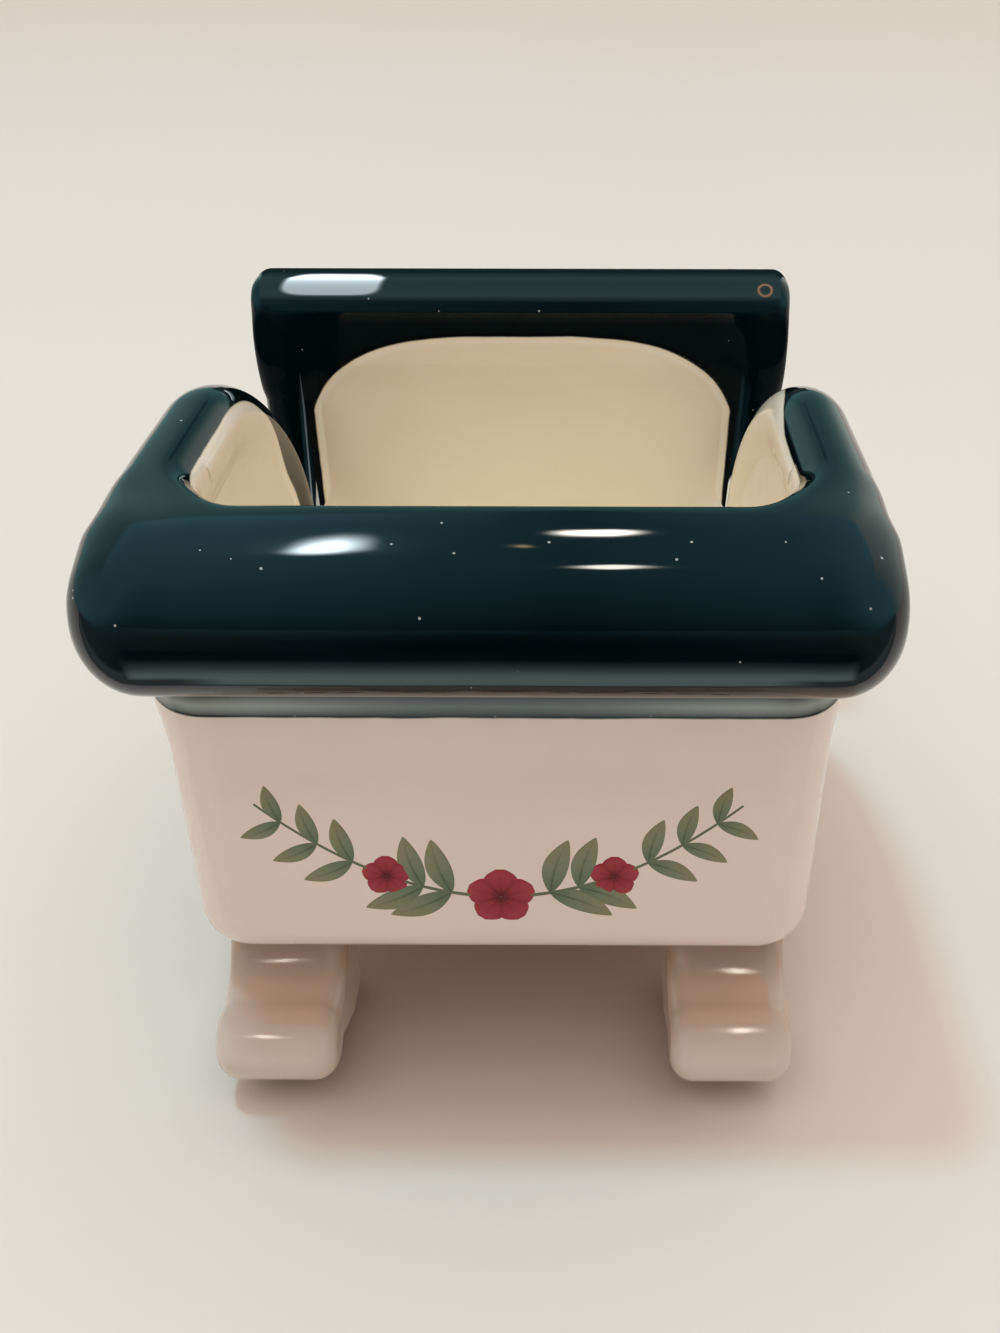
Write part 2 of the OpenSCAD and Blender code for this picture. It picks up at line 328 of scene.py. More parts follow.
def even_line(line, spacing):
    """The same line with points at even distances, and its unit steps, a little smoothed."""
    run = np.concatenate([[0], np.cumsum(np.linalg.norm(np.diff(line, axis=0), axis=1))])
    s = np.linspace(0, run[-1], int(round(run[-1] / spacing)) + 1)
    even = np.stack([np.interp(s, run, line[:, 0]), np.interp(s, run, line[:, 1])], axis=1)
    step = np.gradient(even, axis=0)
    kernel = np.array([1, 2, 3, 2, 1]) / 9
    for column in range(2):
        step[:, column] = np.convolve(np.pad(step[:, column], 2, mode="edge"), kernel, mode="valid")
    return even, step / np.linalg.norm(step, axis=1, keepdims=True)


def arm_distance(p):
    """Distance of points to the two arms' centre lines, with the wall's lean followed."""
    flat = p.reshape(-1, 3)
    line = even_line(ARM, 1.5)[0]
    dx = np.abs(flat[:, 0]) - (BEAD_X - lean_at(flat[:, 2]))
    d2 = (flat[:, None, 1] - line[None, :, 0]) ** 2 + (flat[:, None, 2] - line[None, :, 1]) ** 2
    return np.sqrt(dx ** 2 + d2.min(axis=1)).reshape(p.shape[:-1])


def arch_line(x, z):
    """Millimetres above the arch up to which the far wall is cream: |x|^3.5 and z^3.4 in shares."""
    sx = np.abs(x) / ARCH_HALF
    sz = np.clip(z - ARCH_Z, 0, None) / ARCH_RISE
    value = sx ** ARCH_POWER_X + sz ** ARCH_POWER_Z
    slope = np.hypot(ARCH_POWER_X * sx ** (ARCH_POWER_X - 1) / ARCH_HALF,
                     ARCH_POWER_Z * sz ** (ARCH_POWER_Z - 1) / ARCH_RISE)
    return (value - 1) / np.maximum(slope, 0.02)


def outer_green(p):
    """Millimetres inside the green that hangs below the rims on the outside of the tub."""
    x, y, z = np.moveaxis(p, -1, 0)
    front, back = (ROLL_HANG - bar(x, np.hypot(side * y - ROLL_Y, z - ROLL_Z) - ROLL_R, ROLL_HALF, edge)
                   for side, edge in ((-1, FRONT_ROLL_EDGE), (1, BACK_ROLL_EDGE)))
    return soft_max(soft_max(front, back, 1.0), ARM_HANG - (arm_distance(p) - BEAD_R), 3.0)


def leave_form(form, shape, reach, steps, halvings=14):
    """How far each ray of a fan runs inside a form: even steps outwards, then halving steps."""
    stops = np.linspace(0.5, reach, steps)
    low, high = np.full(shape, stops[0]), np.full(shape, reach)
    open_yet = np.ones(shape, dtype=bool)
    for before, stop in zip(stops, stops[1:]):
        outside = form(np.full(shape, stop)) > 0
        hit = open_yet & outside
        high[hit], low[hit] = stop, before
        open_yet &= ~outside
    low[open_yet] = reach
    for _ in range(halvings):
        mid = (low + high) / 2
        outside = form(mid) > 0
        high = np.where(outside, mid, high)
        low = np.where(outside, low, mid)
    return (low + high) / 2


def cast_rays(centre, out, form, reach):
    """Points where an upright fan of rays from each station leaves the form, and the rays' angles."""
    a = np.linspace(0, 2 * math.pi, ROLL_RAYS, endpoint=False)
    rays = np.cos(a)[None, :, None] * out[:, None, :] + np.sin(a)[None, :, None] * np.array([0, 0, 1.0])

    def at(r):
        return centre[:, None, :] + r[..., None] * rays

    return at(leave_form(lambda r: form(at(r)), rays.shape[:2], reach, 45)), a


def even_out(centre, points, weight, times):
    """Rays' lengths averaged with their neighbours, `times` over, as far as weight allows."""
    reach = np.linalg.norm(points - centre[:, None, :], axis=2)
    rays = (points - centre[:, None, :]) / reach[..., None]
    calm = reach.copy()
    for _ in range(times):
        padded = np.pad(calm, ((1, 1), (0, 0)), mode="edge")
        calm = (padded[:-2] + 2 * padded[1:-1] + padded[2:]) / 4
        calm = (np.roll(calm, 1, axis=1) + 2 * calm + np.roll(calm, -1, axis=1)) / 4
        calm = reach + (calm - reach) * weight
    return centre[:, None, :] + calm[..., None] * rays


def within_box(points):
    """Points eased inside the frame's box: past a start near each side they only creep outwards."""
    out = points.copy()
    for axis, start in enumerate(EASE_FROM):
        size = np.abs(out[..., axis])
        over = np.clip(size - start, 0, None)
        eased = size - over + EASE_ROOM * (1 - np.exp(-over / EASE_ROOM))
        out[..., axis] = np.sign(out[..., axis]) * eased
    return out


def ring_piece(name, points, layers, material, ends):
    """Closed tube from a grid of rings. The rings past the ends only set the normals there."""
    lead, tail = ends
    points = within_box(points)
    normals = grid_normals(points)
    if np.sum((points - points.mean(axis=1, keepdims=True)) * normals) < 0:
        normals = -normals
    kept = slice(lead, len(points) - tail)
    points, normals = points[kept], normals[kept]
    rows, cols = points.shape[:2]
    faces = grid_faces(rows, cols, wrap_cols=True).tolist()
    a, b, c = points[1, 0] - points[0, 0], points[1, 1] - points[0, 0], normals[0, 0]
    if np.dot(np.cross(a, b), c) < 0:
        faces = [f[::-1] for f in faces]
    corners = [normals.reshape(-1, 3)[np.array(faces).ravel()]]
    for row in (0, rows - 1):
        ring = points[row]
        axis = np.cross(ring[cols // 3] - ring[0], ring[2 * cols // 3] - ring[0])
        away = ring.mean(axis=0) - points[abs(row - 1)].mean(axis=0)
        turn = 1 if np.dot(axis, away) > 0 else -1
        faces.append([row * cols + j for j in range(cols)][::turn])
        corners.append(np.tile(turn * axis / np.linalg.norm(axis), (cols, 1)))
    layers = {key: values[kept] for key, values in layers.items()}
    return make_mesh(name, points.reshape(-1, 3), faces, material, layers, normals=np.concatenate(corners))


def front_stations(spacing):
    """Stations along the front rim's plan, left arm to right arm, and their outward directions."""
    centre_x, centre_y = BEAD_X - BEAD_TURN_R, -(BEAD_Y - BEAD_TURN_R)
    arm = np.arange(ARM_START_Y + 2 * spacing, centre_y, -spacing)
    turn = np.linspace(0, math.pi / 2, int(math.pi / 2 * 24 / spacing))
    front = np.linspace(-centre_x, 0, int(centre_x / spacing))[1:]
    px = np.concatenate([np.full_like(arm, -BEAD_X), -centre_x - BEAD_TURN_R * np.cos(turn), front])
    py = np.concatenate([arm, centre_y - BEAD_TURN_R * np.sin(turn), np.full_like(front, -BEAD_Y)])
    ox = np.concatenate([np.full_like(arm, -1.0), -np.cos(turn), np.zeros_like(front)])
    oy = np.concatenate([np.zeros_like(arm), -np.sin(turn), np.full_like(front, -1.0)])
    dip = np.concatenate([np.zeros_like(arm), smooth(turn / 1.3), np.ones_like(front)])
    left = np.stack([px, py, BEAD_Z - 3.6 * dip, ox, oy, np.zeros_like(px)], axis=1)
    right = left[:-1][::-1] * np.array([-1, 1, 1, -1, 1, 1])
    stations = np.concatenate([left, right])
    return stations[:, :3], stations[:, 3:]


def build_front_roll(material):
    """Front roll with its corners: rays from the rim's plan line out to the fused form."""
    centre, out = front_stations(0.9)
    points, turn = cast_rays(centre, out, front_form, 26.0)
    # The upper side is evened out where the roll's corners turn, but not at the seams to the arms
    up = (smooth((np.sin(turn) + 0.15) / 0.7) * smooth((np.cos(turn) + 0.75) / 0.6))[None, :]
    corner = smooth((np.abs(centre[:, 0]) - 21.0) / 9.0)[:, None]
    seam = smooth((ARM_START_Y - 1.5 - centre[:, 1]) / 5.0)[:, None]
    points = even_out(centre, points, up * corner * seam, 26)
    x, y, z = np.moveaxis(points, -1, 0)
    # Angles round the bead, from level and outwards, over the top. Cream begins on its inner side
    angle = np.degrees(np.arctan2(z - BEAD_Z, round_rect(x, y, BEAD_X, BEAD_Y, BEAD_TURN_R)))
    angle = np.where(angle < -110, angle + 360, angle)
    cream_from = 135.0 + np.where(x > 0, 22.0, 12.0) * smooth((np.abs(x) - 20) / 16)
    green = BEAD_R * (np.radians(cream_from) - np.radians(angle))
    layers = {
        "green": np.where(angle > -100, green, ALL_GREEN),
        "inside": angle > 130,
        # Painted reflection mask on the roll's lower outer side, stronger towards its ends
        "thin": (angle < 40) * (0.55 + 0.45 * smooth(np.abs(x) / 30.0)),
    }
    piece = ring_piece("front_roll_glazed", points, layers, material, (2, 2))
    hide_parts("front_roll")
    return piece


def build_back_roll(material):
    """Back roll: rays from the far wall's bead line out to the fused form, closed at both ends."""
    inner = np.linspace(0, ROLL_HALF - BACK_ROLL_EDGE, 50)
    end = ROLL_HALF - BACK_ROLL_EDGE * (1 - np.sin(np.linspace(0, math.pi / 2, 12)))[1:]
    half = np.concatenate([inner, end[:-1], [ROLL_HALF - 0.002]])
    x = np.concatenate([-half[::-1], half[1:]])
    at_post = smooth((np.abs(x) - 30) / 12)
    centre = np.stack([x, BEAD_Y + 1.6 * at_post, 74.0 - 1.0 * at_post], axis=1)
    points, _ = cast_rays(centre, np.tile([0.0, 1.0, 0.0], (len(x), 1)), back_form, 17.0)
    x, y, z = np.moveaxis(points, -1, 0)
    inside = y < BEAD_Y
    green = np.where(inside, arch_line(x, z), ALL_GREEN)
    calm = CALM_GREEN * smooth((79.0 - z) / 4.0)
    layers = {"green": green, "inside": inside, "calm": np.where(inside & (green > 0), calm, 0)}
    piece = ring_piece("back_roll_glazed", points, layers, material, (0, 0))
    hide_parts("back_roll")
    return piece


def build_arm_rim(name, node, side, material):
    """Rim of an arm: a bead along the arm's line, filleted to the wall and into the back roll."""
    line, step = even_line(ARM, 0.8)
    lead = np.array([[ARM_START_Y - 1.6, BEAD_Z], [ARM_START_Y - 0.8, BEAD_Z]])
    line = np.concatenate([lead, line])
    step = np.concatenate([np.tile(step[:1], (2, 1)), step])
    a = np.linspace(0, 2 * math.pi, ARM_RAYS, endpoint=False)

    def place(r):
        across, up = r * np.cos(a)[None, :], r * np.sin(a)[None, :]
        y = line[:, None, 0] - up * step[:, None, 1]
        z = line[:, None, 1] + up * step[:, None, 0]
        return np.stack([BEAD_X + across, y, z], axis=-1), across, up

    def form(r):
        p, across, up = place(r)
        x, y, z = np.moveaxis(p, -1, 0)
        half = WALL / 2 + SKIN - DIVE * np.clip((-2.5 - up) / 5.0, 0, 1)
        root = shared(np.abs(across + 1.2) - half, -7.6 - up, up, y - 45.5)
        fused = soft_min(r - BEAD_R, root, FILLET)
        half = WALL / 2 + SKIN - DIVE * np.clip((-across - 4) / 4, 0, 1)
        wall = shared(np.abs(y - (TUB_Y - WALL / 2)) - half, -8.5 - across, across, 40.0 - z,
                      round_rect(x, y, TUB_X, TUB_Y, CORNER_R) + SKIN)
        return soft_min(fused, wall, FILLET)

    points = place(leave_form(form, (len(line), len(a)), 14.0, 55))[0]
    points[..., 0] = side * (points[..., 0] - lean_at(points[..., 2]))
    x, y, z = np.moveaxis(points, -1, 0)
    y_line = line[:, 0]
    post = smooth((y_line - 30) / 12)
    # The bead angle where cream begins drifts along the arm, to another side on the left and right
    if side < 0:
        cream_from = 147.0 + 75.0 * smooth((y_line + 4) / 24) * (1 - post) + 75.0 * post
    else:
        cream_from = 157.0 - 45.0 * smooth((y_line + 20) / 22) * (1 - post) + 65.0 * post
    angle = np.broadcast_to(np.where(a > math.radians(260), a - 2 * math.pi, a), x.shape)
    green = BEAD_R * (np.radians(cream_from)[:, None] - angle)
    # On the post the arch of the far wall goes on, and its outer side is green throughout
    on_post = np.broadcast_to((y_line > 39.5)[:, None], x.shape)
    off_wall = np.abs(x) + lean_at(z) - WELL_X
    arch = np.maximum(arch_line(x, z), off_wall + 0.2)
    green = np.where(on_post, np.where(y > 45.0, ALL_GREEN, arch), green)
    green = np.where(angle < math.radians(60), ALL_GREEN, green)
    calm = CALM_GREEN * (on_post & (green > 0) & (angle > math.radians(35)))
    layers = {"green": green, "inside": angle > math.radians(95), "calm": calm}
    piece = ring_piece(name, points, layers, material, (2, 0))
    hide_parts(node)
    return piece


def plan_loop(half_x, half_y, r, per_side, per_corner):
    """Points round a rectangle with round corners, from the start of its right far corner."""
    arcs = []
    for quarter, (sx, sy) in enumerate(((1, 1), (-1, 1), (-1, -1), (1, -1))):
        a = math.pi / 2 * (quarter + np.linspace(0, 1, per_corner))
        arcs.append(np.stack([sx * (half_x - r) + r * np.cos(a), sy * (half_y - r) + r * np.sin(a)], axis=1))
    t = np.linspace(0, 1, per_side + 2)[1:-1, None]
    loop = []
    for arc, after in zip(arcs, arcs[1:] + arcs[:1]):
        loop += [arc, arc[-1] + (after[0] - arc[-1]) * t]
    return np.concatenate(loop)


def outward(loop, half_x, half_y, r):
    """Outward direction in plan at the points of a rectangle with round corners."""
    past = np.abs(loop) - np.array([half_x - r, half_y - r])
    v = np.clip(past, 0, None) * np.sign(loop)
    return v / np.maximum(np.linalg.norm(v, axis=1, keepdims=True), 1e-9)


def wall_top(y, full):
    """Height of the wall's hidden top edge at Y: the arm's line, or the far wall's full height."""
    line = ARM[ARM[:, 1] <= BEAD_Z + 0.01]
    line = line[:np.argmax(line[:, 0] >= BEAD_Y - 0.01)]
    z = np.where(full, BEAD_Z - BACK_DROP, np.interp(y, line[:, 0], line[:, 1]))
    return np.where(y < -30, BEAD_Z, z)


def lean_in(plan, z):
    """Plan points drawn in sideways by the wall's lean at height z, with that height as third column."""
    x = plan[:, 0] - np.sign(plan[:, 0]) * lean_at(z) * np.clip(np.abs(plan[:, 0]) / 20.0, 0, 1)
    return np.column_stack([x, plan[:, 1], np.broadcast_to(z, x.shape)])


def build_tub(material):
    """Tub as one closed shell: stations round the plan, each a profile from the underside up and over."""
    per_side, per_corner = 110, 26
    outer = plan_loop(TUB_X, TUB_Y, CORNER_R, per_side, per_corner)
    inner = plan_loop(WELL_X, WELL_Y, WELL_R, per_side, per_corner)
    outer_n = outward(outer, TUB_X, TUB_Y, CORNER_R)
    inner_n = outward(inner, WELL_X, WELL_Y, WELL_R)
    n = len(outer)
    quarter, step = np.divmod(np.arange(n), per_side + per_corner)
    turn = step / (per_corner - 1) * 90.0
    back_face = (quarter == 0) & (step >= per_corner)
    back_corner = (quarter < 2) & (step < per_corner)
    toward_back = np.where(back_corner, np.where(quarter == 0, turn, 90.0 - turn), 0.0)
    full = back_face | (toward_back >= 20.0)
    top_out, top_in = wall_top(outer[:, 1], full), wall_top(inner[:, 1], full)

    # Underside from the middle to the rounded lower edge, then up the outside
    edge = BASE_EDGE_R
    quarters = math.pi / 2 * np.arange(13) / 12
    foot_plan = outer * np.array([(TUB_X - LEAN - edge) / TUB_X, (TUB_Y - edge) / TUB_Y])
    rows = [np.column_stack([foot_plan * share, np.full(n, BASE_Z)]) for share in (0.25, 0.5, 0.75, 0.95)]
    rows += [lean_in(outer - outer_n * (edge * (1 - math.sin(a))), BASE_Z + edge * (1 - math.cos(a)))
             for a in quarters]
    low = BASE_Z + edge
    for share in np.linspace(0, 1, 64)[1:]:
        z = low + (top_out - low) * share
        # The walls flare out a little under the front rim
        flare = 1.1 * smooth((z - 49) / 14) * smooth((-outer[:, 1] - 27) / 16)
        rows.append(lean_in(outer + outer_n * flare[:, None], z))
    outside_rows = len(rows)

    # Over the top, hidden in the rim, down the well and to the middle of its floor
    floor_z = WELL_FLOOR_Z + WELL_FILLET
    drawn = 37.5 - 10.0 * np.clip((toward_back - 20.0) / 70.0, 0, 1)
    hi_x = np.where(full & ~back_face, np.sign(inner[:, 0]) * drawn, inner[:, 0])
    high = np.column_stack([hi_x, np.where(full, WELL_Y, inner[:, 1])])
    for share in np.linspace(1, 0, 64):
        z = floor_z + (top_in - floor_z) * share
        # Behind the posts the well's round corners turn into the far wall's flat face
        rise = np.where(full, smooth((z - 37.0) / 9.0), 0.0)[:, None]
        rows.append(lean_in(inner + (high - inner) * rise, z))
    rows += [lean_in(inner - inner_n * (WELL_FILLET * (1 - math.cos(a))), floor_z - WELL_FILLET * math.sin(a))
             for a in quarters[1:]]
    rows += [lean_in((inner - inner_n * WELL_FILLET) * share, WELL_FLOOR_Z)
             for share in (0.9, 0.7, 0.45, 0.2)]

    grid = np.stack(rows)
    x, y, z = np.moveaxis(grid, -1, 0)
    inside = np.broadcast_to((np.arange(len(rows)) >= outside_rows)[:, None], x.shape)
    far = smooth((y - 33.0) / 4.0)
    well_green = np.minimum(arch_line(x, z), ALL_GREEN) * far - ALL_GREEN * (1 - far)
    green = np.where(inside, well_green, outer_green(grid))
    calm = np.where(green > 0, CALM_GREEN, CALM_CREAM * smooth((60.0 - z) / 20.0))
    # Painted reflection: the pale band on the green under the front roll, stronger towards the sides, stands
    # for the floor mirrored there
    thin = smooth((-y - 38.0) / 6.0) * (0.42 + 0.58 * smooth((np.abs(x) - 4.0) / 30.0))
    layers = {
        "green": np.append(green, [-ALL_GREEN, -ALL_GREEN]),
        "inside": np.append(inside, [0.0, 1.0]),
        "calm": np.append(np.where(inside, calm, 0.0), [0.0, CALM_CREAM]),
        "thin": np.append(~inside * thin, [0.0, 0.0]),
    }
    bottom, base = x.size, (len(rows) - 1) * n
    verts = np.concatenate([grid.reshape(-1, 3), [[0, 0, BASE_Z], [0, 0, WELL_FLOOR_Z]]])
    faces = grid_faces(len(rows), n, wrap_cols=True)[:, ::-1].tolist()
    faces += [[bottom, (j + 1) % n, j] for j in range(n)]
    faces += [[bottom + 1, base + j, base + (j + 1) % n] for j in range(n)]
    piece = make_mesh("tub_glazed", verts, faces, material, layers)
    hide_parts("tub")
    return piece


def foot_outline():
    """Side outline of a foot: Y outwards from the end wall, Z up, closed and anticlockwise."""
    heel = -(BASE_EDGE_R + 10.0 + TOE_R - TOE_OUT)
    brow = math.radians(104)
    hollow_r = 6.0
    heel_r = 3.4

    def arc(y, z, r, angles):
        return np.stack([y + r * np.cos(angles), z + r * np.sin(angles)], axis=1)

    curl = arc(TOE_OUT, TOE_Z, TOE_R, np.linspace(math.radians(-120), brow, 60))
    reach = TOE_R + hollow_r
    instep = arc(TOE_OUT + reach * math.cos(brow), TOE_Z + reach * math.sin(brow), hollow_r,
                 np.linspace(brow - math.pi, -math.pi, 30)[1:])
    ankle = [[instep[-1, 0], z] for z in (20.4, 21.4, 22.6, 27.0)]
    back = [[heel, z] for z in (27.0, 22.0, 20.5, 19.0, 17.5, 10.0)]
    round_heel = arc(heel + heel_r, heel_r, heel_r, np.linspace(math.pi, 1.5 * math.pi, 10))
    return np.concatenate([curl, instep, np.array(ankle + back), round_heel, [[10.0 + heel, 0.0]]])


def drawn_in(outline, inset):
    """Outline moved inwards, each corner along its mitre: n = (n1 + n2) / (1 + n1.n2)."""
    d = np.roll(outline, -1, axis=0) - outline
    d /= np.linalg.norm(d, axis=1, keepdims=True)
    n2 = np.stack([-d[:, 1], d[:, 0]], axis=1)
    n1 = np.roll(n2, 1, axis=0)
    return outline + inset * ((n1 + n2) / (1 + np.sum(n1 * n2, axis=1, keepdims=True)))


def build_foot(name, node, x, side, material):
    """Foot: cross sections of its side outline, each drawn in as a quarter round near the sides."""
    outline = foot_outline()
    edge, cols = 3.0, len(outline)
    t = np.linspace(0, math.pi / 2, 14)
    flat_x = np.linspace(0, FOOT_HALF_W - edge, 8)[:-1]
    xs = np.concatenate([flat_x, FOOT_HALF_W - edge + edge * np.sin(t)])
    insets = np.concatenate([np.zeros(len(flat_x)), edge * (1 - np.cos(t))])
    xs = np.concatenate([-xs[::-1], xs[1:]])
    insets = np.concatenate([insets[::-1], insets[1:]])
    yz = np.stack([drawn_in(outline, inset) for inset in insets])
    yz[..., 1] = np.clip(yz[..., 1], 0.0, 24.5)
    root = smooth((yz[..., 1] - 17.6) / 3.4)
    yz[..., 0] += 0.9 * root * smooth((yz[..., 0] + 12.0) / 4.0)
    rows = len(xs)
    plan_x = x + np.broadcast_to(xs[:, None], root.shape)
    verts = np.stack([plan_x, side * (TUB_Y + yz[..., 0]), yz[..., 1]], axis=-1).reshape(-1, 3)
    faces = grid_faces(rows, cols, wrap_cols=True).tolist()
    f = faces[(rows // 2) * cols + 15]
    if np.cross(verts[f[1]] - verts[f[0]], verts[f[3]] - verts[f[0]])[1] * side < 0:
        faces = [f[::-1] for f in faces]
    for row, way in ((0, -1), (rows - 1, 1)):
        loop = verts[row * cols:(row + 1) * cols, 1:]
        area = np.sum(loop[:, 0] * np.roll(loop[:, 1], -1) - loop[:, 1] * np.roll(loop[:, 0], -1))
        turn = 1 if area * way > 0 else -1
        faces.append([row * cols + j for j in range(cols)][::turn])
    # Painted shade: the feet grow darker towards their tops, under the tub
    piece = make_mesh(name, verts, faces, material, {"painted_shade": smooth((verts[:, 2] - 9.0) / 6.0)}, flat=2)
    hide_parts(node)
    return piece


class Net:
    """A shader node tree with short ways to add nodes. A value is a number, a colour or a socket."""

    def __init__(self, tree):
        self.tree = tree

    def node(self, kind):
        """A new node."""
        return self.tree.nodes.new(kind)

    def put(self, value, socket):
        """Sets a socket, or links another one to it."""
        if hasattr(value, "is_output"):
            self.tree.links.new(value, socket)
        else:
            socket.default_value = value

    def math(self, operation, *values, clamp=False):
        """A Math node's output."""
        node = self.node("ShaderNodeMath")
        node.operation = operation
        node.use_clamp = clamp
        for value, socket in zip(values, node.inputs):
            self.put(value, socket)
        return node.outputs[0]

    def ramp(self, value, steep, level):
        """Straight ramp: steep times the value, plus level, held between 0 and 1."""
        return self.math("MULTIPLY_ADD", value, steep, level, clamp=True)

    def peak(self, value, centre, half):
        """1 at the centre, falling straight to 0 at half to both sides: 1 - |value - centre| / half."""
        away = self.math("ABSOLUTE", self.math("SUBTRACT", value, centre))
        return self.math("SUBTRACT", 1.0, self.math("DIVIDE", away, half), clamp=True)

    def mix(self, share, a, b):
        """The colour at a share of the way from a to b."""
        node = self.node("ShaderNodeMix")
        node.data_type = "RGBA"
        for index, value in ((0, share), (6, a), (7, b)):
            self.put(value, node.inputs[index])
        return node.outputs[2]

    def layer(self, key):
        """The mesh's own value of that name."""
        node = self.node("ShaderNodeAttribute")
        node.attribute_name = key
        return node.outputs["Fac"]

    def place(self):
        """Object coordinates, in metres."""
        return self.node("ShaderNodeTexCoord").outputs["Object"]

    def axes(self, vector):
        """X, Y and Z of a vector."""
        node = self.node("ShaderNodeSeparateXYZ")
        self.put(vector, node.inputs[0])
        return node.outputs

    def noise(self, scale, detail=2.0, rough=0.5):
        """Noise on Object coordinates."""
        node = self.node("ShaderNodeTexNoise")
        for label, value in (("Scale", scale), ("Detail", detail), ("Roughness", rough),
                             ("Vector", self.place())):
            self.put(value, node.inputs[label])
        return node.outputs["Fac"]

    def use(self, shared_tree, **values):
        """The outputs of a shared group, with its inputs given."""
        node = self.node("ShaderNodeGroup")
        node.node_tree = shared_tree
        for label, value in values.items():
            self.put(value, node.inputs[label])
        return node.outputs


def group(name, inputs, outputs):
    """An empty shader node group: its net, the values that come in and the sockets that go out."""
    tree = bpy.data.node_groups.new(name, "ShaderNodeTree")
    for label, kind, value in inputs:
        tree.interface.new_socket(label, in_out="INPUT", socket_type=kind).default_value = value
    for label, kind in outputs:
        tree.interface.new_socket(label, in_out="OUTPUT", socket_type=kind)
    net = Net(tree)
    return net, net.node("NodeGroupInput").outputs, net.node("NodeGroupOutput").inputs


def glaze_line_group():
    """Masks of the hand-laid line between two glazes, from the piece's own distance to it in mm."""
    net, given, out = group("glaze line", [
        ("Distance", "NodeSocketFloat", 0.0), ("Wander", "NodeSocketFloat", 0.35),
        ("Width", "NodeSocketFloat", 0.25)],
        [("Mask", "NodeSocketFloat"), ("Halo", "NodeSocketFloat"), ("Lip", "NodeSocketFloat")])
    wander = net.math("MULTIPLY", net.math("SUBTRACT", net.noise(160.0), 0.5), given["Wander"])
    d = net.math("ADD", given["Distance"], wander)
    net.put(net.math("ADD", net.math("DIVIDE", d, given["Width"]), 0.5, clamp=True), out["Mask"])
    # A pale halo on the cream side and a darker lip on the green side
    net.put(net.peak(d, -0.75, 0.8), out["Halo"])
    net.put(net.peak(d, 0.5, 0.6), out["Lip"])
    return net.tree


def glaze_depth_group():
    """Slow light and dark drifts in a glaze, with fine specks."""
    net, given, out = group("glaze depth", [
        ("Colour", "NodeSocketColor", (0.5, 0.5, 0.5, 1)), ("Deep", "NodeSocketColor", (0.1, 0.1, 0.1, 1)),
        ("Drift", "NodeSocketFloat", 0.4), ("Specks", "NodeSocketFloat", 0.0)],
        [("Colour", "NodeSocketColor"), ("Height", "NodeSocketFloat")])
    drift = net.math("MULTIPLY", net.ramp(net.noise(45.0, 3.0, 0.55), 2.2, -0.6), given["Drift"])
    colour = net.mix(drift, given["Colour"], given["Deep"])
    cells = net.node("ShaderNodeTexVoronoi")
    net.put(620.0, cells.inputs["Scale"])
    net.put(net.place(), cells.inputs["Vector"])
    near = net.math("LESS_THAN", cells.outputs["Distance"], 0.10)
    pick = net.node("ShaderNodeSeparateColor")
    net.put(cells.outputs["Color"], pick.inputs[0])
    rare = net.math("GREATER_THAN", pick.outputs[0], 0.90)
    speck = net.math("MULTIPLY", net.math("MULTIPLY", near, rare), given["Specks"])
    net.put(net.mix(speck, colour, SPECK), out["Colour"])
    net.put(net.noise(70.0, 1.0), out["Height"])
    return net.tree


def srgb(r, g, b):
    """A colour as it is seen, 0 to 255, as the shader wants it."""
    c = [v / 255.0 for v in (r, g, b)]
    return tuple((v / 12.92 if v <= 0.04045 else ((v + 0.055) / 1.055) ** 2.4) for v in c) + (1.0,)


GREEN = srgb(4, 18, 22)
GREEN_DEEP = srgb(2, 8, 12)
# The tub's ivory is painted brighter than the same glaze on the feet, as painted light on its front face
# under the roll
BRIGHTENED_IVORY = srgb(255, 241, 232)
BRIGHTENED_IVORY_DEEP = srgb(250, 234, 224)
# The feet's ivory is the tub's glaze painted darker, and the next colour is painted shade under the tub
SHADED_FOOT_IVORY = srgb(228, 214, 201)
PAINTED_SHADE_IVORY = srgb(196, 170, 152)
# The well's cream is the ivory glaze painted warmer and a little darker, as painted warm light inside the
# well
WARM_LIT_IVORY = srgb(247, 238, 219)
WARM_LIT_IVORY_DEEP = srgb(242, 230, 208)
PALE_EDGE = srgb(250, 244, 230)
# Pale green of a thin glaze edge, also a painted reflection of the floor under the front roll
THIN_GREEN_AND_REFLECTION = srgb(172, 180, 177)
SPECK = (0.75, 0.8, 0.78, 1)
# Painted highlight: a small warm ring glint on the back roll's right end, its centre and radius in metres
PAINTED_GLINT_CENTRE = (0.0394, 0.0429, 0.0804)
PAINTED_GLINT_RADIUS = 0.00105
PAINTED_GLINT_COLOUR = srgb(170, 120, 84)

GLAZE_LINE = glaze_line_group()
GLAZE_DEPTH = glaze_depth_group()


def new_material(name):
    """A material with an empty tree, its net, and the input of its output node."""
    material = bpy.data.materials.new(name)
    material.use_nodes = True
    material.node_tree.nodes.clear()
    net = Net(material.node_tree)
    return material, net, net.node("ShaderNodeOutputMaterial").inputs[0]


def surface(name, roughness, ior=None):
    """A material with a Principled shader, its net, and the shader's inputs."""
    material, net, out = new_material(name)
    shader = net.node("ShaderNodeBsdfPrincipled")
    net.put(shader.outputs[0], out)
    net.put(roughness, shader.inputs["Roughness"])
    if ior is not None:
        net.put(ior, shader.inputs["IOR"])
    return material, net, shader.inputs


def bump(net, shader, height, distance):
    """A Bump node on the shader's normal, its distance in metres."""
    node = net.node("ShaderNodeBump")
    for label, value in (("Distance", distance), ("Strength", 1.0), ("Height", height)):
        net.put(value, node.inputs[label])
    net.put(node.outputs[0], shader["Normal"])


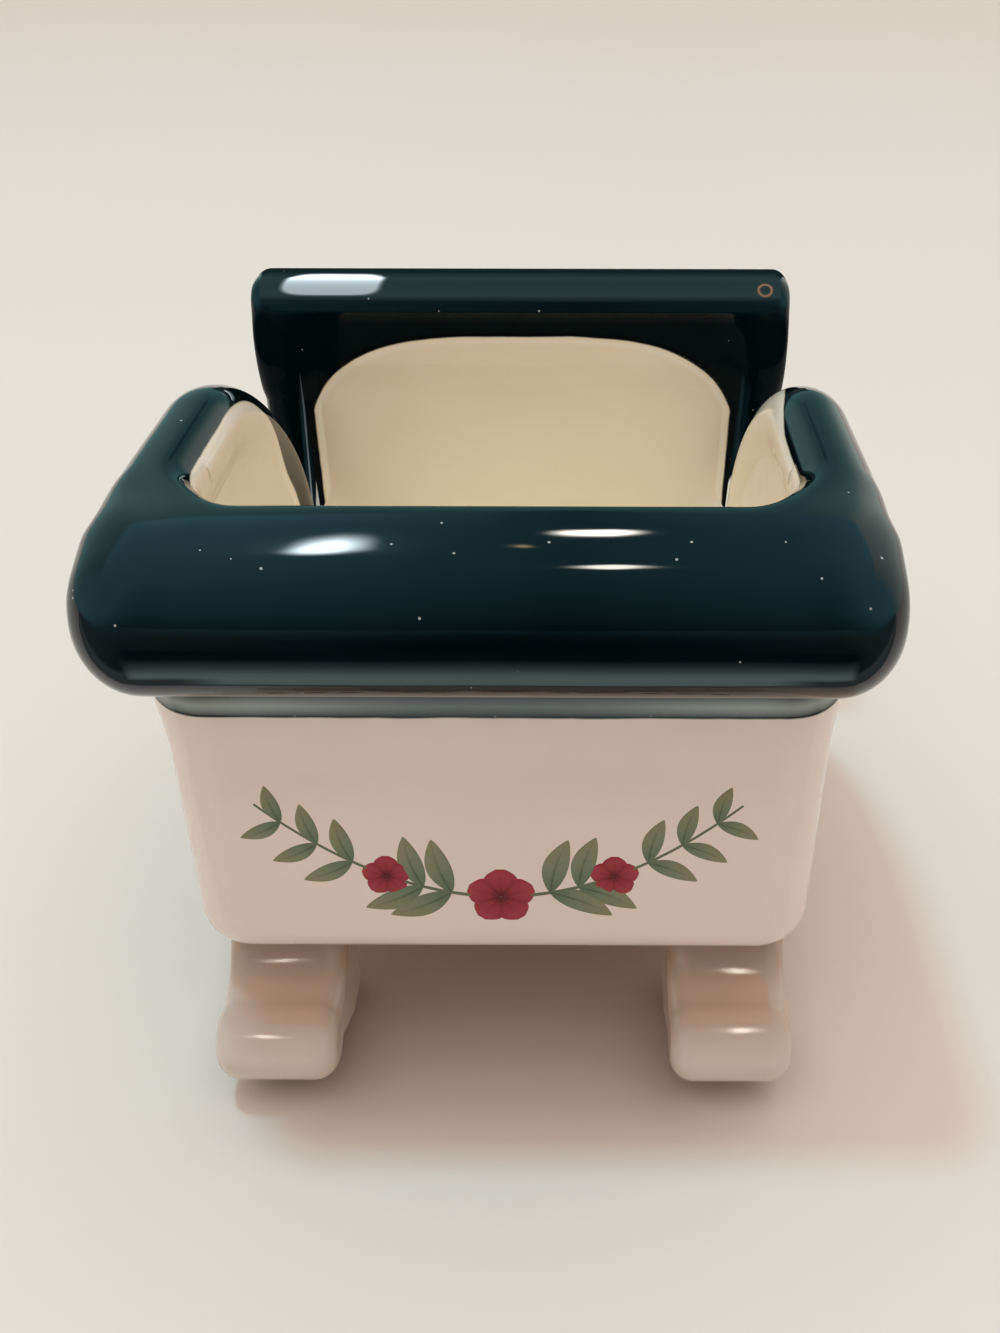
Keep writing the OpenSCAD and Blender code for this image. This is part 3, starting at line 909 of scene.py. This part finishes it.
def glazed_material(name):
    """Green glaze over ivory, split by the piece's own line. The ivory in the well is painted as cream for
    the warm light there.
    """
    material, net, shader = surface(name, 0.04, 1.43)
    distance = net.layer("green")
    line = net.use(GLAZE_LINE, Distance=distance)
    green = net.use(GLAZE_DEPTH, Colour=GREEN, Deep=GREEN_DEEP, Drift=0.55, Specks=0.5)
    # Painted light: the tub's ivory is a brightened copy of the feet's glaze
    ivory = net.use(GLAZE_DEPTH, Colour=BRIGHTENED_IVORY, Deep=BRIGHTENED_IVORY_DEEP, Drift=0.6, Specks=0.0)
    # Painted warm light: the well's side is a warmer cream copy of the ivory
    cream = net.use(GLAZE_DEPTH, Colour=WARM_LIT_IVORY, Deep=WARM_LIT_IVORY_DEEP, Drift=0.6, Specks=0.0)
    well = net.mix(line["Halo"], cream["Colour"], PALE_EDGE)
    pale = net.mix(net.layer("inside"), ivory["Colour"], well)
    deep = net.mix(line["Lip"], green["Colour"], GREEN_DEEP)
    colour = net.mix(line["Mask"], pale, deep)
    # Where the green hangs thin it is pale 0.3 to 3.1 mm in from its edge. Under the front roll this pale
    # band is also a painted reflection of the floor, stronger towards the sides
    thin = net.math("POWER", net.peak(distance, 1.7, 1.4), 0.6)
    colour = net.mix(net.math("MULTIPLY", thin, net.layer("thin")), colour, THIN_GREEN_AND_REFLECTION)
    # Painted highlight: a small warm ring glint at one point of the back roll, mixed into the colour
    reach = net.node("ShaderNodeVectorMath")
    reach.operation = "DISTANCE"
    net.put(net.place(), reach.inputs[0])
    net.put(PAINTED_GLINT_CENTRE, reach.inputs[1])
    ring = net.peak(reach.outputs["Value"], PAINTED_GLINT_RADIUS, 0.0003)
    net.put(net.mix(net.math("MULTIPLY", ring, 0.8), colour, PAINTED_GLINT_COLOUR), shader["Base Color"])
    net.put(net.ramp(net.layer("calm"), -0.5, 0.5), shader["Specular IOR Level"])
    bump(net, shader, green["Height"], 0.00012)
    return material


def ivory_material(name):
    """Plain ivory glaze of the feet, painted darker than the tub's, and darker and warmer towards the top
    under the tub as painted shade.
    """
    material, net, shader = surface(name, 0.12, 1.5)
    ivory = net.use(GLAZE_DEPTH, Colour=SHADED_FOOT_IVORY, Deep=BRIGHTENED_IVORY_DEEP, Drift=0.4, Specks=0.0)
    # Painted shade: darker and warmer towards the top of the foot, under the tub
    net.put(net.mix(net.layer("painted_shade"), ivory["Colour"], PAINTED_SHADE_IVORY), shader["Base Color"])
    bump(net, shader, ivory["Height"], 0.0001)
    return material


def print_material(name, main, deep, tip):
    """Fired-on print: a wash from the root's colour to the tip's, with veins and a little grain."""
    material, net, shader = surface(name, 0.16)
    wash = net.mix(net.layer("shade"), main, tip)
    grain = net.math("MULTIPLY_ADD", net.noise(900.0, 3.0), 0.5, 0.6)
    lines = net.math("MULTIPLY", net.layer("dark"), grain, clamp=True)
    net.put(net.mix(lines, wash, deep), shader["Base Color"])
    return material


# Prints: a garland on each wall, with pairs of leaflets and blossoms at shares of its half width
GARLAND_RISE = 14.0
PRINT_Z = 31.0
END_REACH = 29.0
SIDE_REACH = 24.0
SIDE_SHIFT = -11.0
LEAFLET_L = 8.5
LEAFLET_SHARES = (0.21, 0.33, 0.62, 0.76, 0.90)
BLOSSOM_SHARE = 0.48
BLOSSOM_R = 4.6
SMALL_BLOSSOM = 0.72
PRINT_BACK = -0.25


class Sheet:
    """Collects thin closed plates in a flat pattern: U across, V up, with their shade and dark lines."""

    def __init__(self):
        self.uv, self.h, self.faces, self.shade, self.dark = [], [], [], [], []
        self.count = 0

    def add(self, u, v, height, shade, dark, root=(0, 0), turn=0.0):
        """A grid of points, turned about its start and put at the root: a raised face and a hidden back."""
        u, v, height, shade, dark = np.broadcast_arrays(u, v, height, shade, dark)
        rows, cols = u.shape
        behind = rows * cols
        c, d = math.cos(turn), math.sin(turn)
        top = grid_faces(rows, cols, first=self.count)
        back = grid_faces(rows, cols, first=self.count + behind)[:, ::-1]
        i, j = np.arange(rows - 1) * cols, np.arange(cols - 1)
        last = behind - cols
        rim = [np.stack([b, a, a + behind, b + behind], axis=1) + self.count
               for a, b in ((j, j + 1), (last + j + 1, last + j), (i + cols, i),
                            (i + cols - 1, i + 2 * cols - 1))]
        self.faces += [top, back] + rim
        plan = np.stack([root[0] + c * u - d * v, root[1] + d * u + c * v], axis=-1)
        self.uv += [plan.reshape(-1, 2)] * 2
        self.h += [height.ravel(), np.full(behind, PRINT_BACK)]
        self.shade += [shade.ravel()] * 2
        self.dark += [dark.ravel()] * 2
        self.count += 2 * behind


def spans(rows, cols, first=0.0):
    """Two crossed spans: first to 1 down the rows, and -1 to 1 along the columns."""
    return np.linspace(first, 1, rows)[:, None], np.linspace(-1, 1, cols)[None, :]


def leaf_plate(sheet, root, turn, length):
    """Pointed oval leaflet: width falls from the middle to both ends, with a midrib and side veins."""
    t, s = spans(30, 15)
    half = 0.2 * length * np.sin(math.pi * t ** 0.9) ** 0.8 + 0.02
    bend = 0.05 * length * np.sin(math.pi * t)
    out = np.abs(s)
    rib = np.exp(-(s / 0.09) ** 2) * (1 - t)
    veins = 0.45 * np.clip(np.cos((t * 6.0 - out * 0.9) * 2 * math.pi) - 0.75, 0, 1) * 3 * (1 - out)
    foot = smooth((0.45 - t) / 0.45) * 0.55 * (1 - out * 0.6)
    dark = np.clip(rib + veins * 0.5 + foot, 0, 1)
    sheet.add(length * t, half * s + bend, 0.07 - 0.12 * out ** 8, smooth(t + 0.15 * s), dark, root, turn)


def stem_plate(sheet, reach):
    """Garland stem: a thin ribbon along the curve v = rise u^2."""
    t, s = spans(90, 5, -1.0)
    width = 0.34 * (1 - 0.45 * np.abs(t))
    slope = 2 * GARLAND_RISE * t / reach
    k = np.sqrt(1 + slope ** 2)
    u = reach * t - slope / k * width * s
    v = GARLAND_RISE * t ** 2 + width * s / k
    sheet.add(u, v, 0.06 - 0.1 * s ** 6, 0.4, 0.35)


def blossom_plates(sheet, centre, r):
    """Five round petals round an eye, dark towards it and with fine dark rays."""
    t, s = spans(14, 25, 0.02)
    half = 0.47 * r * np.sin(math.pi * t ** 1.35 * 0.97 + 0.06)
    rays = 0.5 * np.clip(np.cos(s * 9.0), 0, 1) * np.clip(1.1 - t * 1.3, 0, 1)
    dark = np.clip(rays + smooth((0.35 - t) / 0.3) * 0.9, 0, 1)
    height = 0.075 - 0.13 * np.maximum(np.abs(s), t) ** 10
    for k in range(5):
        turn = math.radians(72 * k + 90)
        sheet.add(t * r * 0.98, half * s, height, smooth(t), dark, centre, turn)


def lay_sheet(name, node, sheet, place, material):
    """Puts a flat pattern on a wall: place gives the point for U, V and height over the wall."""
    uv = np.concatenate(sheet.uv)
    verts = place(uv[:, 0], uv[:, 1], np.concatenate(sheet.h))
    layers = {"shade": np.concatenate(sheet.shade), "dark": np.concatenate(sheet.dark)}
    piece = make_mesh(name, verts, np.concatenate(sheet.faces).tolist(), material, layers)
    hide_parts(node)
    return piece


def end_place(side):
    """Wall of one end: U runs to the right as the wall is looked at from outside."""
    def place(u, v, h):
        return np.stack([-side * u, side * (TUB_Y + h), PRINT_Z + v], axis=1)
    return place


def side_place(side):
    """Side wall, leaning in towards its foot. The pattern sits towards the armed end."""
    def place(u, v, h):
        z = PRINT_Z + v
        return np.stack([side * (TUB_X - lean_at(z) + h), side * u + SIDE_SHIFT, z], axis=1)
    return place


def build_prints(leaf_material, blossom_material):
    """The garland on each of the four walls, as a leaf layer and a blossom layer."""
    pieces = []
    for label, place, reach in (("front", end_place(-1), END_REACH), ("back", end_place(1), END_REACH),
                                ("left", side_place(-1), SIDE_REACH), ("right", side_place(1), SIDE_REACH)):
        leaves, flowers = Sheet(), Sheet()
        stem_plate(leaves, reach)
        blossom_plates(flowers, (0.0, 0.0), BLOSSOM_R)
        for s in (-1, 1):
            for share in LEAFLET_SHARES:
                root = (s * reach * share, GARLAND_RISE * share ** 2)
                for turn in (-1, 1):
                    angle = math.radians(25 + 50 * turn if s > 0 else 155 - 50 * turn)
                    leaf_plate(leaves, root, angle, LEAFLET_L * (1.1 - share / 2))
            centre = (s * reach * BLOSSOM_SHARE, GARLAND_RISE * BLOSSOM_SHARE ** 2)
            blossom_plates(flowers, centre, BLOSSOM_R * SMALL_BLOSSOM)
        pieces.append(lay_sheet(f"{label}_leaves", f"{label}_leaf_print", leaves, place, leaf_material))
        pieces.append(lay_sheet(f"{label}_blossoms", f"{label}_blossom_print", flowers, place,
                                blossom_material))
    return pieces


rim_glaze = glazed_material("green glaze over cream")
tub_glaze = glazed_material("ivory and cream glaze")
foot_glaze = ivory_material("ivory glaze")
leaf_ink = print_material("leaf print", srgb(122, 138, 112), srgb(70, 82, 56), srgb(150, 146, 112))
blossom_ink = print_material("blossom print", srgb(158, 34, 48), srgb(92, 12, 26), srgb(178, 62, 70))

tub_piece = build_tub(tub_glaze)
rims = [
    build_front_roll(rim_glaze),
    build_back_roll(rim_glaze),
    build_arm_rim("left_arm_bead", "left_arm_rim", -1, rim_glaze),
    build_arm_rim("right_arm_bead", "right_arm_rim", 1, rim_glaze),
]
feet = [build_foot(f"{end}_{hand}_scroll", f"{end}_{hand}_foot", x, side, foot_glaze)
        for end, side in (("front", -1), ("rear", 1)) for hand, x in (("left", -FOOT_X), ("right", FOOT_X))]
prints = build_prints(leaf_ink, blossom_ink)

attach(tub_piece, "root")
for rim in rims:
    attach(rim, "root")
for foot in feet:
    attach(foot, "root")
for layer in prints:
    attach(layer, "root")


# Floor, light and camera. A card's own values run from -1 to 1: across it, and up it
SKY_BLUE = (0.80, 0.93, 1.0, 1)
HAZE_BLUE = (0.45, 0.85, 1.0, 1)
LAMP_WHITE = (1.0, 0.95, 0.84, 1)
LAMP_AMBER = (1.0, 0.78, 0.45, 1)
NEAR_BLACK = (0.004, 0.006, 0.008, 1)
FLOOR_BESIDE = (0.16, 0.20, 0.21, 1)
HORIZON_AHEAD = (0.06, 0.12, 0.16, 1)
HORIZON_BESIDE = (0.16, 0.29, 0.36, 1)
SHADOW_FAR = (0.38, 0.45, 0.45, 1)
SHADOW_NEAR = (0.16, 0.20, 0.20, 1)
BAND_LEFT = (0.30, 0.55, 0.55, 1)
BAND_RIGHT = (0.86, 0.98, 0.92, 1)
BAND_MIDDLE = (0.14, 0.32, 0.33, 1)
CEILING_BLACK = (0.0, 0.0, 0.0, 1)
CEILING_BLUE = (0.36, 0.84, 1.0, 1)
SKY_LEVEL = (0.03, 0.02, 0.018, 1)
SKY_OVERHEAD = (1.62, 1.41, 1.25, 1)
# Heights at which the cards and the lamp are aimed, in millimetres and in metres
CARD_AIM_Z = 75.0
LAMP_AIM_Z = 0.04


def make_card(name, verts, faces, material, across, up):
    """A flat-shaded stage card, its points in millimetres."""
    card = make_mesh(name, verts, faces, material, {"across": across, "up": up}, flat=len(faces))
    return card


def flat_card(name, corners, material):
    """A flat four-cornered card."""
    return make_card(name, corners, [[0, 1, 2, 3]], material, (-1, 1, 1, -1), (-1, -1, 1, 1))


def arc_card(name, x_from, x_to, r, start, stop, material, centre_y=ROLL_Y):
    """A card bent round a roll at radius r, between two angles in degrees from level, facing it."""
    a = np.radians(np.linspace(start, stop, 33))
    n = len(a)
    y, z = centre_y + r * np.cos(a), ROLL_Z + r * np.sin(a)
    verts = np.column_stack([np.repeat([x_from, x_to], n), np.tile(y, 2), np.tile(z, 2)])
    faces = [[i, n + i, n + i + 1, i + 1] for i in range(n - 1)]
    return make_card(name, verts, faces, material, np.repeat([-1, 1], n), np.tile(np.linspace(-1, 1, n), 2))


def only_mirrored(card):
    """Leaves a card to the glaze's reflections alone."""
    card.visible_camera = False
    card.visible_diffuse = False
    card.visible_shadow = False
    card.visible_transmission = False


def floor_material():
    """Pale matt floor that takes the shadow, with a painted shadow that makes it warmer and darker under the
    holder.
    """
    material, net, shader = surface("floor", 0.6)
    colour = net.mix(net.noise(3.0), srgb(229, 223, 217), srgb(225, 218, 211))
    # Painted shadow under the holder: within 44 mm of its middle sideways and 64 mm lengthwise
    place = net.axes(net.place())
    near_x, near_y = (net.ramp(net.math("ABSOLUTE", place[k]), -45.0, half)
                      for k, half in ((0, 2.0), (1, 2.9)))
    painted_shadow = net.math("MULTIPLY", net.math("MULTIPLY", near_x, near_y), 0.55)
    net.put(net.mix(painted_shadow, colour, srgb(150, 116, 104)), shader["Base Color"])
    net.put(0.2, shader["Specular IOR Level"])
    return material


def card_material(name):
    """A card that only glows: its net, the inputs of its glow, and the socket that hides it."""
    material, net, out = new_material(name)
    glow = net.node("ShaderNodeEmission")
    hide = net.node("ShaderNodeMixShader")
    net.put(glow.outputs[0], hide.inputs[1])
    net.put(net.node("ShaderNodeBsdfTransparent").outputs[0], hide.inputs[2])
    net.put(hide.outputs[0], out)
    return material, net, glow.inputs, hide.inputs[0]


def past_grid(net, hidden):
    """Hides a card from rays that meet it at a slant, as a honeycomb grid in front of a lamp does."""
    facing = net.node("ShaderNodeLayerWeight").outputs["Facing"]
    return net.math("MAXIMUM", hidden, net.ramp(facing, 12.0, -1.7))


def glow_material(name, colour, strength, core, power=2.0, grid=False):
    """A glow on the card's front side only, that fades from its core to the card's edge."""
    material, net, glow, hide = card_material(name)
    net.put(colour, glow[0])
    net.put(strength, glow[1])
    across, up = (net.math("POWER", net.math("ABSOLUTE", net.layer(key)), power) for key in ("across", "up"))
    # The fade is steep next to the core and levels out towards the edge
    away = net.math("POWER", net.math("ADD", across, up), 1.0 / power)
    fade = net.math("DIVIDE", net.math("SUBTRACT", away, core), 1.0 - core, clamp=True)
    fade = net.math("SUBTRACT", 1.0, net.math("POWER", net.math("SUBTRACT", 1.0, fade), 2.5))
    hidden = net.math("MAXIMUM", net.node("ShaderNodeNewGeometry").outputs["Backfacing"], fade)
    net.put(past_grid(net, hidden) if grid else hidden, hide)
    return material


def shade_material(name, rise, fall, dark, pale, open_ends=False):
    """Dim glow along the card's arc, on its inner side only: it rises and falls by two straight ramps.

    Open ends let the floor show through where the arc turns under the roll near its two ends.
    """
    material, net, glow, hide = card_material(name)
    up = net.layer("up")
    net.put(net.mix(net.math("MINIMUM", net.ramp(up, *rise), net.ramp(up, *fall)), dark, pale), glow[0])
    hidden = net.node("ShaderNodeNewGeometry").outputs["Backfacing"]
    if open_ends:
        wide = net.math("ABSOLUTE", net.layer("across"))
        ends = net.math("MULTIPLY", net.ramp(wide, 8.0, -5.6), net.ramp(up, 3.0, -0.9))
        ends = net.math("MAXIMUM", ends, net.ramp(wide, 14.0, -13.0))
        hidden = net.math("MAXIMUM", hidden, ends)
    net.put(past_grid(net, hidden), hide)
    return material


def dark_floor_material():
    """What the glaze sees of the floor in front: near black, and clear close to the holder."""
    material, net, glow, hide = card_material("dark_front")
    up = net.layer("up")
    wide = net.ramp(net.math("ABSOLUTE", net.layer("across")), 140.0, -0.3)
    middle = net.mix(wide, NEAR_BLACK, FLOOR_BESIDE)
    x, y, _ = net.axes(net.place())
    slant = net.math("ABSOLUTE", net.math("DIVIDE", x, net.math("MINIMUM", y, -0.01)))
    slant = net.math("MULTIPLY", slant, 4.0, clamp=True)
    horizon = net.mix(slant, HORIZON_AHEAD, HORIZON_BESIDE)
    far = net.mix(net.ramp(y, -2.0, -0.44), middle, horizon)
    # The card is so long that the last thousandths of its span are what lies before the holder
    shade = net.mix(net.ramp(up, 191.6, -190.6), SHADOW_FAR, SHADOW_NEAR)
    net.put(net.mix(net.ramp(up, 373.0, -370.0), far, shade), glow[0])
    net.put(net.ramp(up, 1500.0, -1499.0), hide)
    return material


def facing(towards):
    """Unit axes of something that looks at the holder from a direction: across, up and back."""
    back = np.array(towards, dtype=float)
    back /= np.linalg.norm(back)
    across = np.cross([0, 1.0, 0], back)
    across /= np.linalg.norm(across)
    return across, np.cross(back, across), back


def mirrored_card(name, towards, distance, width, height, colour, strength, core):
    """A soft round-edged light that only shows in the glaze, facing the holder from a direction."""
    across, up, back = facing(towards)
    centre = back * distance + np.array([0, 0, CARD_AIM_Z])
    corners = [centre + sx * across * width / 2 + sy * up * height / 2
               for sx, sy in ((-1, 1), (1, 1), (1, -1), (-1, -1))]
    only_mirrored(flat_card(name, corners, glow_material(name, colour, strength, core)))


def add_lamp(name, towards, distance, size, energy, colour):
    """A soft square lamp aimed at the middle of the holder, that the glaze doesn't mirror."""
    data = bpy.data.lights.new(name, "AREA")
    data.shape = "SQUARE"
    data.size = size
    data.energy = energy
    data.color = colour
    axes = facing(towards)
    add_object(name, data, axes, axes[2] * distance + np.array([0, 0, LAMP_AIM_Z])).visible_glossy = False


# Half widths of the two floors, and half sizes and height of the cards over the toes
FLOOR = 3000
DARK_FLOOR = 15000
TOE_LAMP_X, TOE_LAMP_Y, TOE_LAMP_Z = 2.5, 13, 57.0
flat_card("floor", [(-FLOOR, -FLOOR, 0), (FLOOR, -FLOOR, 0), (FLOOR, FLOOR, 0), (-FLOOR, FLOOR, 0)],
          floor_material())
mirrored_card("window", (-0.187, 0.386, 0.892), 1485, 112, 620, SKY_BLUE, 30.0, 0.4)
mirrored_card("window_haze", (-0.19, 0.386, 0.892), 1490, 300, 1000, HAZE_BLUE, 1.6, 0.0)
mirrored_card("lamp_row", (0.0257, 0.552, 0.8157), 1478, 125, 150, LAMP_WHITE, 30.0, 0.5)
mirrored_card("lamp_strip", (0.038, -0.043, 1.0), 1500, 108, 270, LAMP_WHITE, 30.0, 0.5)
mirrored_card("small_lamp", (-0.0335, 0.436, 0.874), 1500, 60, 90, LAMP_AMBER, 6.0, 0.2)
only_mirrored(arc_card("far_shade", -50.0, 50.0, 22.0, 3.0, 146.0, shade_material(
    "far_shade", (0.75, 0.38), (-3.65, 3.78), (0.02, 0.04, 0.04, 1), (0.75, 1.25, 1.35, 1))))
only_mirrored(arc_card("near_shade", -46.0, 46.0, 28.0, 200.0, 250.0, shade_material(
    "near_shade", (1.31, 1.04), (-0.84, 1.38), (0.01, 0.02, 0.02, 1), (1.25, 1.6, 1.6, 1), True), -ROLL_Y))
only_mirrored(arc_card("window_on_far_roll", -41.8, -23.4, 21.5, 41.0, 135.0,
                       glow_material("window_on_far_roll", SKY_BLUE, 14.0, 0.86, 5.0, True)))
for label, x, y in (("left", -42.5, -91.0), ("right", 36.1, -66.0)):
    toe_corners = [(x + sx * TOE_LAMP_X, y + sy * TOE_LAMP_Y, TOE_LAMP_Z)
                   for sx, sy in ((-1, 1), (1, 1), (1, -1), (-1, -1))]
    only_mirrored(flat_card(f"lamp_on_{label}_toe", toe_corners,
                            glow_material(f"lamp_on_{label}_toe", LAMP_WHITE, 26.0, 0.3)))
only_mirrored(flat_card("dark_front", [
    (-DARK_FLOOR, -DARK_FLOOR, 0.5), (DARK_FLOOR, -DARK_FLOOR, 0.5), (DARK_FLOOR, -56, 0.5),
    (-DARK_FLOOR, -56, 0.5)], dark_floor_material()))
add_lamp("top_lamp", (-0.21, 0.0, 0.98), 1.5, 0.14, 7.0, (0.34, 0.78, 1.0))


def room_colour(net, x, y, z, overhead):
    """The room that the glaze mirrors: a dim blue ceiling, and a pale band over the horizon behind."""
    wide = net.math("ABSOLUTE", x)
    limit = net.math("MULTIPLY_ADD", wide, 0.66, 0.38)
    low = net.ramp(net.math("SUBTRACT", limit, z), 15.0, 0.5)
    band = net.math("MULTIPLY", net.ramp(y, 2.5, 0.3), low)
    glow = net.mix(net.ramp(x, 3.5, -0.55), BAND_LEFT, BAND_RIGHT)
    glow = net.mix(net.ramp(wide, 6.0, -0.9), BAND_MIDDLE, glow)
    left_above = net.math("MULTIPLY", net.ramp(y, 0.55, 0.55), net.ramp(x, -3.2, -0.15))
    level = net.math("MULTIPLY_ADD", left_above, 0.5, net.math("MULTIPLY", overhead, 0.38))
    level = net.math("ADD", net.math("MULTIPLY_ADD", wide, 1.5, level), 0.09)
    level = net.math("MULTIPLY", level, net.ramp(z, 1.35, 0.42), clamp=True)
    return net.mix(band, net.mix(level, CEILING_BLACK, CEILING_BLUE), glow)


def build_world():
    """White for the camera, soft light on the holder, and a room for the glaze to mirror."""
    world = bpy.data.worlds.new("studio")
    bpy.context.scene.world = world
    world.use_nodes = True
    world.node_tree.nodes.clear()
    net = Net(world.node_tree)
    x, y, z = net.axes(net.node("ShaderNodeTexCoord").outputs["Generated"])
    overhead = net.math("POWER", net.math("MAXIMUM", z, 0.0), 2.0)
    sky = net.mix(overhead, SKY_LEVEL, SKY_OVERHEAD)

    def background(colour, strength):
        node = net.node("ShaderNodeBackground")
        net.put(colour, node.inputs[0])
        net.put(strength, node.inputs[1])
        return node.outputs[0]

    path = net.node("ShaderNodeLightPath").outputs
    shown = background(sky, 1.18)
    for ray, seen in (("Is Glossy Ray", background(room_colour(net, x, y, z, overhead), 0.9)),
                      ("Is Camera Ray", background((1, 1, 1, 1), 1.0))):
        mix = net.node("ShaderNodeMixShader")
        for value, socket in zip((path[ray], shown, seen), mix.inputs):
            net.put(value, socket)
        shown = mix.outputs[0]
    net.put(shown, net.node("ShaderNodeOutputWorld").inputs[0])


def add_camera():
    """The photograph's camera: a place, a tilt and a small sideways shift, for a 1000 x 1333 image."""
    position = np.array([8.961, -179.717, 144.251]) * MM
    tilt, yaw, roll = 0.5434, -0.0035, -0.0014
    focal, centre_x, centre_y = 1391.92, 570.26, 666.0
    image_w, image_h, sensor = 1000.0, 1333.0, 36.0
    forward = np.array([math.sin(yaw) * math.cos(tilt), math.cos(yaw) * math.cos(tilt), -math.sin(tilt)])
    right = np.array([math.cos(yaw), -math.sin(yaw), 0.0])
    down = np.cross(forward, right)
    across = math.cos(roll) * right + math.sin(roll) * down
    lower = -math.sin(roll) * right + math.cos(roll) * down
    data = bpy.data.cameras.new("camera")
    data.sensor_fit = "AUTO"
    data.sensor_width = sensor
    data.lens = focal / image_h * sensor
    data.shift_x = (image_w / 2 - centre_x) / image_h
    data.shift_y = (centre_y - image_h / 2) / image_h
    data.clip_start = 0.01
    data.clip_end = 20.0
    bpy.context.scene.camera = add_object("camera", data, (across, -lower, -forward), position)


build_world()
add_camera()
bpy.context.scene.view_settings.view_transform = "Standard"

bpy.context.view_layer.update()
